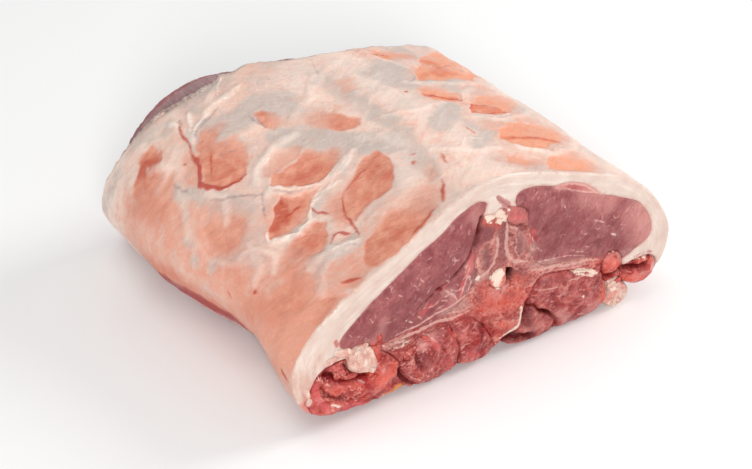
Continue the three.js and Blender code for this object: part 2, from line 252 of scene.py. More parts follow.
edges = {
    "skin": [(-88, 8), (-93.5, 15), (-96, 28), (-91, 40), (-79, 52), (-65, 60), (-54, 65), (-42, 72.5),
        (-28, 80.5), (-13, 85.5), (-3, 86), (9, 83.5), (20, 80), (39, 73.5), (55, 67), (66, 60.5),
        (74, 53.5), (80, 46), (85.5, 37), (88, 29), (87, 20), (83, 12)],
    "flankFatL": [(-88, 8), (-90, 14), (-88.5, 20.5), (-85, 26), (-79, 29), (-72.5, 28.8)],
    "lumpFatL": [(-72.5, 28.8), (-71.5, 32)],
    "eyeFatL": [(-71.5, 32), (-75, 36), (-74, 39.5), (-71, 42.5), (-61, 50.5), (-50, 57.5), (-39, 65),
        (-30, 69.5), (-24, 74), (-18, 77), (-13, 78), (-9, 76.5), (-9.3, 73.5), (-10.5, 71)],
    "multFatL": [(-10.5, 71), (-8, 70.5), (-5, 69.5)],
    "spineFat": [(-5, 69.5), (-3.5, 71.3), (-1, 71.5), (1, 70)],
    "multFatR": [(1, 70), (3, 70.6), (5.8, 69.8)],
    "eyeFatR1": [(5.8, 69.8), (4.7, 73), (6.5, 76.2), (14, 76), (24.5, 72.5)],
    "stripFat": [(24.5, 72.5), (28.5, 72.4), (34, 71), (40, 67.8), (44.6, 64), (47.5, 60.8)],
    "stripEye": [(24.5, 72.5), (32.5, 67.4), (40, 63.6), (47.5, 60.8)],
    "eyeFatR2": [(47.5, 60.8), (56, 56.7), (65, 52), (70, 48.5), (74.5, 42.5), (77, 36), (77, 31),
        (74, 28.3), (69, 26.3), (63, 23.5)],
    "lobeFatR": [(63, 23.5), (63.5, 19.5)],
    "flankFatR": [(63.5, 19.5), (70, 20.5), (77, 20), (81.5, 17), (83, 12)],
    "eyeLump": [(-71.5, 32), (-67, 32.8), (-62.5, 31)],
    "eyeFlankL": [(-62.5, 31), (-59, 30), (-56, 29.5)],
    "lumpFlankL": [(-72.5, 28.8), (-71, 22.5), (-66, 18.2), (-60.5, 18.5), (-59.5, 24), (-62.5, 31)],
    "tipFlankL": [(-56, 29.5), (-56.5, 26.5)],
    "seamL": [(-56, 29.5), (-50, 33.5), (-44, 37), (-39, 40), (-31, 44.5), (-25, 47.5), (-20, 50.5),
        (-16.5, 55), (-14.3, 60), (-12, 66), (-10.5, 71)],
    "multSpineL": [(-5, 69.5), (-4.6, 63.5), (-6, 59), (-9, 58.5), (-12, 56), (-13.5, 51), (-13, 45),
        (-15, 39), (-19.5, 34.5), (-26, 31.5), (-34, 30.3), (-44, 30.3), (-56, 29.5)],
    "multSpineR": [(1, 70), (1, 67), (1.5, 64)],
    "multLobeR": [(1.5, 64), (4.5, 61.8), (8, 60), (11.5, 60.5)],
    "eyeMultR": [(5.8, 69.8), (9.4, 67.6), (11.6, 64.4), (11.5, 60.5)],
    "eyeSpineR": [(11.5, 60.5), (13.3, 55), (14.5, 49), (14.8, 43.5), (18, 38.5), (24, 35.5), (32, 34.3),
        (40, 32.8), (47, 30.5), (53, 27.5)],
    "eyeLobeR": [(53, 27.5), (54.5, 29.8), (58.5, 29.5), (61.5, 27), (63, 23.5)],
    "tpFilR": [(53, 27.5), (49, 24.6), (43, 25.5), (36, 28), (29, 30.2), (22, 31.5), (18, 29.8), (15.5, 26),
        (13.3, 19.5)],
    "bodyLobeR": [(13.3, 19.5), (11.8, 14.5), (11.8, 9.5)],
    "bodyFree": [(11.8, 9.5), (8, 8.8), (4, 8.3), (1, 7), (-1, 4.5)],
    "bodyLobeB": [(-1, 4.5), (-4, 11), (-7.5, 17.5), (-11, 21.5)],
    "tpLobeB": [(-11, 21.5), (-14.5, 25.2), (-20, 26), (-25, 25.8)],
    "tpLobeA": [(-25, 25.8), (-32, 25.5), (-40, 25), (-46, 23.3), (-51, 23.7), (-56.5, 26.5)],
    "lobeABL": [(-25, 25.8), (-22, 19), (-19.5, 13), (-19, 8), (-20.5, 3.5)],
    "flankFilL": [(-56.5, 26.5), (-51.5, 21.5), (-48.5, 17.5), (-47.3, 12), (-46.5, 7), (-46, 3.5)],
    "lobeAFree": [(-46, 3.5), (-42, 1), (-36, 0), (-28, 0), (-23, 0.8), (-20.5, 3.5)],
    "lobeBFree": [(-20.5, 3.5), (-15, 1), (-9, 0.8), (-4, 2), (-1, 4.5)],
    "flankFreeL": [(-88, 8), (-83.5, 4.6), (-75, 2.6), (-66, 2), (-57, 1.8), (-50, 2), (-46, 3.5)],
    "filLobeR": [(13.3, 19.5), (17.5, 17.8), (20, 14.3), (25, 11.5), (28.5, 7), (28, 1)],
    "lobeRFree": [(11.8, 9.5), (9, 6.8), (5, 6.6), (2.5, 5.2), (6, 2.2), (12, 0.3), (21, 0), (28, 1)],
    "filRFree": [(28, 1), (33, 0), (43, 0), (51, 0.6), (55.5, 3.5)],
    "filLumpR": [(55.5, 3.5), (56.2, 9), (55, 14.5)],
    "filLobeFlankR": [(55, 14.5), (53.5, 18.5), (51.8, 22.5), (53, 27.5)],
    "lobeLumpR": [(55, 14.5), (58.5, 15), (62, 15)],
    "lobeFlankR": [(62, 15), (63.5, 19.5)],
    "flankLumpR": [(62, 15), (63.5, 12.5), (66, 10)],
    "flankFreeR": [(66, 10), (70, 7.5), (75, 7), (80, 8.3), (83, 12)],
    "lumpFreeR": [(66, 10), (68.7, 6), (68, 2), (64, 0), (59, 0.3), (55.5, 3.5)],
}
# how deep the cut face turns in along an edge, in mm; others take 0.5
edgeTurn = {
    "skin": 0.9, "eyeFatL": 0.1, "eyeFatR1": 0.1, "eyeFatR2": 0.12, "stripFat": 0.1, "stripEye": 0.1,
    "multFatL": 0.25, "spineFat": 0.25, "multFatR": 0.3, "seamL": 0.06, "multSpineL": 0.12,
    "multSpineR": 0.3, "multLobeR": 0.6, "eyeMultR": 0.6, "eyeSpineR": 0.12, "lumpFlankL": 0.9,
    "tpFilR": 0.4, "bodyLobeR": 0.8, "bodyFree": 1, "bodyLobeB": 0.25, "tpLobeB": 0.15, "tpLobeA": 0.15,
    "lobeABL": 0.35, "lobeAFree": 3, "lobeBFree": 2.6, "flankFreeL": 3.2, "filLobeR": 1.8, "lobeRFree": 2.4,
    "filRFree": 3, "filLumpR": 1.8, "filLobeFlankR": 1.3, "lobeLumpR": 1.2, "lobeFlankR": 1.2,
    "lobeFatR": 0.8, "eyeLobeR": 0.7, "flankFatR": 1.2, "flankLumpR": 1.4, "flankFreeR": 2.2,
    "lumpFreeR": 1.8,
}
freeEdges = {"bodyFree", "lobeAFree", "lobeBFree", "flankFreeL", "lobeRFree", "filRFree",
             "flankFreeR", "lumpFreeR"}
touching, free, skinSide, underFat = range(4)  # kinds of edge


def kindOf(name):
    if name == "skin":
        return skinSide
    if name in freeEdges:
        return free
    return underFat if "Fat" in name else touching


def wandered(points):
    # the drawn edges wander a little, alike for both neighbours
    shift = np.stack([noise(points, 6, 3) + 0.4 * noise(points, 2.5, 4),
                      noise(points, 6, 5) + 0.4 * noise(points, 2.5, 6)], 1)
    return points + 0.32 * shift


def outlineOf(loop):
    # a piece's outline, counter-clockwise seen from the front
    points, turns, kinds, arcs = [], [], [], []
    for word in loop:
        name = word.lstrip("-")
        kind = kindOf(name)
        line = spaced(curve(edges[name]), spacing["skin" if kind == skinSide else "edge"])
        arc = np.concatenate([[0], np.cumsum(np.linalg.norm(np.diff(line, axis=0), axis=1))])
        if kind != skinSide:
            line = wandered(line)
        if word.startswith("-"):
            line, arc = line[::-1], arc[::-1]
        count = len(line) - 1
        points.append(line[:-1])
        turns.append(np.full(count, edgeTurn.get(name, 0.5)))
        kinds.append(np.full(count, kind))
        arcs.append(arc[:-1])
    points, turns, kinds, arcs = (np.concatenate(part) for part in (points, turns, kinds, arcs))
    x, z = points.T
    if (x * np.roll(z, -1) - np.roll(x, -1) * z).sum() < 0:
        points, turns, kinds, arcs = points[::-1], turns[::-1], kinds[::-1], arcs[::-1]
    for _ in range(3):  # neighbouring edges blend into each other
        turns = (np.roll(turns, 1) + 2 * turns + np.roll(turns, -1)) / 4
    return {"points": points, "turns": turns, "kinds": kinds, "arcs": arcs}


def blunted(outline):
    # needle-thin tips are cut back, where the two sides lie closer than half a millimetre
    points = outline["points"]
    n = len(points)
    step = np.linalg.norm(np.roll(points, -1, axis=0) - points, axis=1)
    keep = np.ones(n, bool)
    for reach in range(2, 16):
        arc = sum(np.roll(step, -k) for k in range(reach))
        gap = np.linalg.norm(np.roll(points, -reach, axis=0) - points, axis=1)
        for i in np.where((gap < 0.5) & (gap < 0.42 * arc))[0]:
            keep[(i + np.arange(1, reach)) % n] = False
    return {key: values[keep] for key, values in outline.items()}


def drawnIn(points, amount):
    before, after = np.roll(points, 1, axis=0), np.roll(points, -1, axis=0)
    side = after - before
    inward = np.stack([-side[:, 1], side[:, 0]], 1)
    inward /= np.maximum(np.linalg.norm(inward, axis=1), 1e-9)[:, None]
    return points + inward * np.asarray(amount).reshape(-1, 1), inward


def filled(ring, gap, hole=None):
    # the ring's inside as points and triangles; the ring's own points come first, then the hole's
    low, high = ring.min(0), ring.max(0)
    grid = []
    for k, z in enumerate(np.arange(low[1], high[1], gap * 0.866)):
        x = np.arange(low[0] + (gap / 2 if k % 2 else 0), high[0], gap)
        grid.append(np.stack([x, np.full(len(x), z)], 1))
    grid = np.vstack(grid)
    grid += gap * 0.16 * np.stack([noise(grid * 7.3, 1.9, 8), noise(grid * 7.3, 1.9, 9)], 1)
    rings = [ring] if hole is None else [ring, hole]
    keep = inside(grid, ring)
    if hole is not None:
        keep &= ~inside(grid, hole)
    grid = grid[keep]
    for one in rings:
        grid = grid[toLine(grid, np.vstack([one, one[:1]]))[0] > gap * 0.55]
    sides, start = [], 0
    for one in rings:
        n = len(one)
        sides += [(start + k, start + (k + 1) % n) for k in range(n)]
        start += n
    every = np.vstack([*rings, grid])
    out = delaunay_2d_cdt([Vector(p) for p in every], sides, [], 0, 1e-6)
    if not all(out[3]):
        raise ValueError("an outline crosses itself")
    source = np.array([sources[0] for sources in out[3]])
    faces = source[np.array(out[2])]
    middle = every[faces].mean(1)
    good = inside(middle, ring)
    if hole is not None:
        good &= ~inside(middle, hole)
    faces = faces[good]
    a, b, c = every[faces[:, 0]], every[faces[:, 1]], every[faces[:, 2]]
    turned = (b - a)[:, 0] * (c - a)[:, 1] - (b - a)[:, 1] * (c - a)[:, 0] < 0
    faces[turned] = faces[turned][:, ::-1]
    return every, faces


def stitched(left, leftAt, right, rightAt):
    # triangles between two neighbouring columns of points, facing out on a counter-clockwise outline
    faces, i, j = [], 0, 0
    while i < len(left) - 1 or j < len(right) - 1:
        takeLeft = j == len(right) - 1 or (i < len(left) - 1 and leftAt[i + 1] <= rightAt[j + 1])
        if takeLeft:
            faces.append((left[i], left[i + 1], right[j]))
            i += 1
        else:
            faces.append((left[i], right[j + 1], right[j]))
            j += 1
    return faces


def normalsOf(points, faces):
    a, b, c = points[faces[:, 0]], points[faces[:, 1]], points[faces[:, 2]]
    n = np.cross(b - a, c - a)
    normals = np.zeros_like(points)
    for k in range(3):
        for axis in range(3):
            normals[:, axis] += np.bincount(faces[:, k], n[:, axis], len(points))
    return normals / np.maximum(np.linalg.norm(normals, axis=1), 1e-12)[:, None]


def makeObject(name, points, faces, body="root"):
    mesh = bpy.data.meshes.new(name)
    mesh.vertices.add(len(points))
    mesh.vertices.foreach_set("co", (np.asarray(points) * mm).astype(np.float32).ravel())
    mesh.loops.add(3 * len(faces))
    mesh.loops.foreach_set("vertex_index", faces.astype(np.int32).ravel())
    mesh.polygons.add(len(faces))
    mesh.polygons.foreach_set("loop_start", np.arange(0, 3 * len(faces), 3, dtype=np.int32))
    mesh.polygons.foreach_set("loop_total", np.full(len(faces), 3, np.int32))
    mesh.polygons.foreach_set("use_smooth", np.ones(len(faces), bool))
    mesh.update(calc_edges=True)
    piece = bpy.data.objects.new(name, mesh)
    scene.collection.objects.link(piece)
    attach(piece, body)
    return piece


def setField(piece, name, values):
    field = piece.data.attributes.new(name, "FLOAT", "POINT")
    field.data.foreach_set("value", np.asarray(values, np.float32))


print("tools ready")


# one dictionary for each piece: its edges in order, "-" for an edge taken backwards
# bulge, rough: how far the cut face swells and how uneven it is; rear: how far its rear edge turns in
pieces = {
    "fat_cover": {
        "slot": "fat", "bulge": 0.25, "domed": 4, "rough": 0.16, "rear": 1.2, "folds": 0.08, "seed": 1,
        "loop": "skin -flankFatR -lobeFatR -eyeFatR2 -stripFat -eyeFatR1 -multFatR -spineFat "
                "-multFatL -eyeFatL -lumpFatL -flankFatL"},
    "loin_eye_left": {
        "slot": "loin", "bulge": 0.7, "domed": 9, "rough": 0.2, "rear": 3.2, "folds": 0.12, "seed": 2,
        "flare": True,
        "loop": "eyeFatL -seamL -eyeFlankL -eyeLump"},
    "loin_eye_right": {
        "slot": "loin", "bulge": 0.7, "domed": 9, "rough": 0.2, "rear": 3.2, "folds": 0.12, "seed": 3,
        "loop": "eyeFatR1 stripEye eyeFatR2 -eyeLobeR -eyeSpineR -eyeMultR"},
    "cap_strip": {
        "slot": "strip", "bulge": 0.3, "domed": 2, "rough": 0.12, "rear": 1.0, "folds": 0.1, "seed": 4,
        "loop": "stripFat -stripEye"},
    "multifidus_left": {
        "slot": "loin", "bulge": 0.4, "domed": 4, "rough": 0.3, "rear": 1.0, "folds": 0.2, "seed": 5,
        "loop": "multFatL multSpineL seamL"},
    "multifidus_right": {
        "slot": "strip", "bulge": 0.5, "domed": 3, "rough": 0.2, "rear": 1.0, "folds": 0.2, "seed": 6,
        "loop": "multFatR eyeMultR -multLobeR -multSpineR"},
    "backbone": {
        "slot": "bone", "bulge": 0.2, "domed": 3, "rough": 0.34, "rear": 0.8, "folds": 0.28, "seed": 7,
        "hole": True,
        "loop": "spineFat multSpineR multLobeR eyeSpineR tpFilR bodyLobeR bodyFree bodyLobeB tpLobeB "
                "tpLobeA -tipFlankL -multSpineL"},
    "fillet_left": {
        "slot": "fillet", "bulge": 0.6, "domed": 5, "rough": 0.4, "rear": 1.6, "folds": 0.75, "seed": 8,
        "loop": "tpLobeA flankFilL lobeAFree -lobeABL"},
    "fillet_left_inner": {
        "slot": "fillet", "bulge": 0.6, "domed": 5, "rough": 0.36, "rear": 1.6, "folds": 0.7, "seed": 9,
        "loop": "-tpLobeB -bodyLobeB -lobeBFree -lobeABL"},
    "fillet_right": {
        "slot": "fillet", "bulge": 0.7, "domed": 7, "rough": 0.26, "rear": 1.8, "folds": 0.35, "seed": 10,
        "loop": "tpFilR filLobeR filRFree filLumpR filLobeFlankR"},
    "fillet_right_inner": {
        "slot": "fillet", "bulge": 0.6, "domed": 5, "rough": 0.3, "rear": 1.6, "folds": 0.55, "seed": 11,
        "loop": "filLobeR -lobeRFree -bodyLobeR"},
    "flank_left": {
        "slot": "flank", "bulge": 0.6, "domed": 5, "rough": 0.4, "rear": 1.8, "folds": 0.9, "seed": 12,
        "loop": "flankFatL lumpFlankL eyeFlankL tipFlankL flankFilL -flankFreeL"},
    "fat_lump_left": {
        "slot": "soft_fat", "bulge": 0.5, "domed": 4, "rough": 0.5, "rear": 1.2, "folds": 1.0, "seed": 13,
        "loop": "lumpFatL eyeLump -lumpFlankL"},
    "flank_right_inner": {
        "slot": "flank", "bulge": 0.5, "domed": 3, "rough": 0.28, "rear": 1.2, "folds": 0.5, "seed": 14,
        "loop": "eyeLobeR lobeFatR -lobeFlankR -lobeLumpR filLobeFlankR"},
    "flank_right": {
        "slot": "flank", "bulge": 0.7, "domed": 4, "rough": 0.28, "rear": 1.4, "folds": 0.6, "seed": 15,
        "loop": "flankFatR -flankFreeR -flankLumpR lobeFlankR"},
    "fat_lump_right": {
        "slot": "soft_fat", "bulge": 0.7, "domed": 4, "rough": 0.4, "rear": 1.4, "folds": 0.8, "seed": 16,
        "loop": "lobeLumpR flankLumpR lumpFreeR filLumpR"},
}
# gaps between the points of a piece in mm: along its outline, over its cut faces and down its sides
spacing = {
    "edge": 0.6, "skin": 0.74, "front": 0.58, "rear": 1.0, "clear": 0.03, "freeRun": 1.35, "skinRun": 0.82,
    "bareRun": 1.3, "hidden": (0.03, 0.1, 0.22, 0.34, 0.48, 0.64, 0.81),
}

# lumps on the cut face: x, z, radius and height in mm
lumps = [
    (-84, 21, 5, 1.2), (-76, 16, 5, 1.0), (-66, 12, 6, 1.0), (-55, 14, 6, 0.8), (-70, 25, 4, 1.0),
    (-60, 8, 6, 0.6), (-80, 8, 5, 0.8), (-34, 16, 4, 1.2), (-42, 12, 3, 0.8), (-28, 10, 5, 1.0),
    (-36, 5, 4, 1.0), (-44, 16, 2.5, 0.8), (-26, 20, 4, 0.6), (-14, 16, 5, 0.9), (-10, 8, 5, 0.9),
    (-17, 6, 4, 0.8), (33, 20, 9, 0.8), (42, 12, 9, 0.8), (16, 15, 4, 0.9), (48, 20, 5, 0.5),
    (20, 24, 4, 0.5), (17, 9, 5, 0.8), (24, 5, 4, 0.7), (60, 8, 4, 1.0), (64, 4, 3, 0.8),
    (58, 12, 3, 0.6), (72, 13, 6, 1.2), (78, 15, 3, 0.6), (57, 24, 3.5, 1.0), (-66, 25, 4, 0.8),
    (-62, 22, 3, 0.6), (-8, 65, 2.5, 0.6), (-16, 47, 4, 0.5), (-28, 38, 5, 0.5), (6, 65, 3, 0.9),
    (-20, 62, 6, 0.5), (-40, 50, 10, 0.4), (-60, 42, 8, 0.5), (24, 47, 6, 0.5), (45, 44, 9, 0.4),
    (68, 38, 8, 0.7), (14, 68, 6, 0.4), (-8, 51, 4, 0.8), (7.5, 51, 4, 0.9), (-3, 67, 3, 0.7),
    (1, 24, 7, 0.8), (0, 14, 6, 0.5), (-22, 31, 5, 0.4),
]
# creases and pits in it: half width, depth, and the lines that they follow
creases = [
    (2.2, 2.6, [(-11.3, 70.5), (-12.3, 66), (-13, 62), (-14.8, 57)]), (1.4, 1.4, [(-14.8, 57), (-17, 54),
     (-20, 50.5), (-22.5, 48.8)], [(-4, 77.6), (-2.6, 75.6), (0, 73), (2.2, 70.8)]),
     (0.9, 0.25, [(-22.5, 48.8), (-31, 44.5), (-39, 40)]), (1.3, 1.5, [(-31, 45), (-30, 44.8)]),
     (1.8, 3, [(8, 60.2), (10.6, 58.8)]), (1, 1.5, [(6.8, 57.6), (6.3, 57)]), (2.4, 5, [(-82, 25.3),
     (-79, 24), (-76.5, 21.5), (-72, 19.5), (-66, 17.8), (-62, 17)], [(2.5, 6.2), (7, 5.8), (12, 5),
     (16, 3.8)]), (1.8, 3.5, [(-84.5, 21), (-83.5, 17.5), (-80, 14.2), (-76, 12), (-73.5, 10.5)]),
     (1.3, 2, [(-74, 27.5), (-73, 24.5)]), (1.4, 1.6, [(-72, 10), (-66, 6.5), (-60, 5)]),
     (2.2, 6, [(-48.4, 13), (-46.6, 8.5), (-44, 5), (-40, 2.3)]), (1.6, 2.6, [(-41.4, 19), (-40, 13),
     (-37.6, 9.6)]), (1, 1.2, [(-52.6, 27), (-51.4, 25), (-49.6, 24)], [(-8.5, 19.5), (-7, 17.5)]),
     (0.9, 1.4, [(-46.4, 26), (-45, 24.4)]), (0.9, 1.2, [(-41, 26.4), (-39.4, 25.6)], [(58, 12.5), (62, 10),
     (65, 8.5)], [(57.5, 5), (61, 6), (63, 4)]), (0.8, 1, [(-33, 19), (-31.6, 15)], [(74, 20.9),
     (76.5, 20.2)]), (0.8, 0.9, [(-27, 21), (-25, 17)]), (1.5, 2.6, [(-19.6, 9), (-19.6, 6), (-20.5, 3)]),
     (0.8, 0.8, [(-30, 9), (-27.6, 6.6)]), (1.6, 1.6, [(-11, 19.5), (-9, 16), (-9.5, 13)]),
     (1.9, 3, [(13.5, 22), (12.3, 17), (11.9, 13), (12.5, 9.5)]), (2, 6, [(21.6, 13), (22.2, 12.7)]),
     (1.3, 3, [(21.5, 14), (24, 11.8), (27.5, 8.8), (29.8, 5.5), (29.6, 1)]), (1.2, 1.5, [(14.5, 23.5),
     (18, 22)]), (2.4, 6, [(54, 17.5), (57, 17.2), (62, 18.8), (68, 17.8), (73, 16.7), (76.5, 16.5)]),
     (1.2, 2, [(55.5, 14), (56, 9), (55.3, 5)]), (0.8, 0.7, [(38, 50.4), (40, 51)], [(46.5, 38),
     (49, 36.6)]), (0.7, 0.6, [(19, 55.2), (20.2, 54)]), (1, 0.9, [(-60.5, 37), (-59.5, 34)]),
]

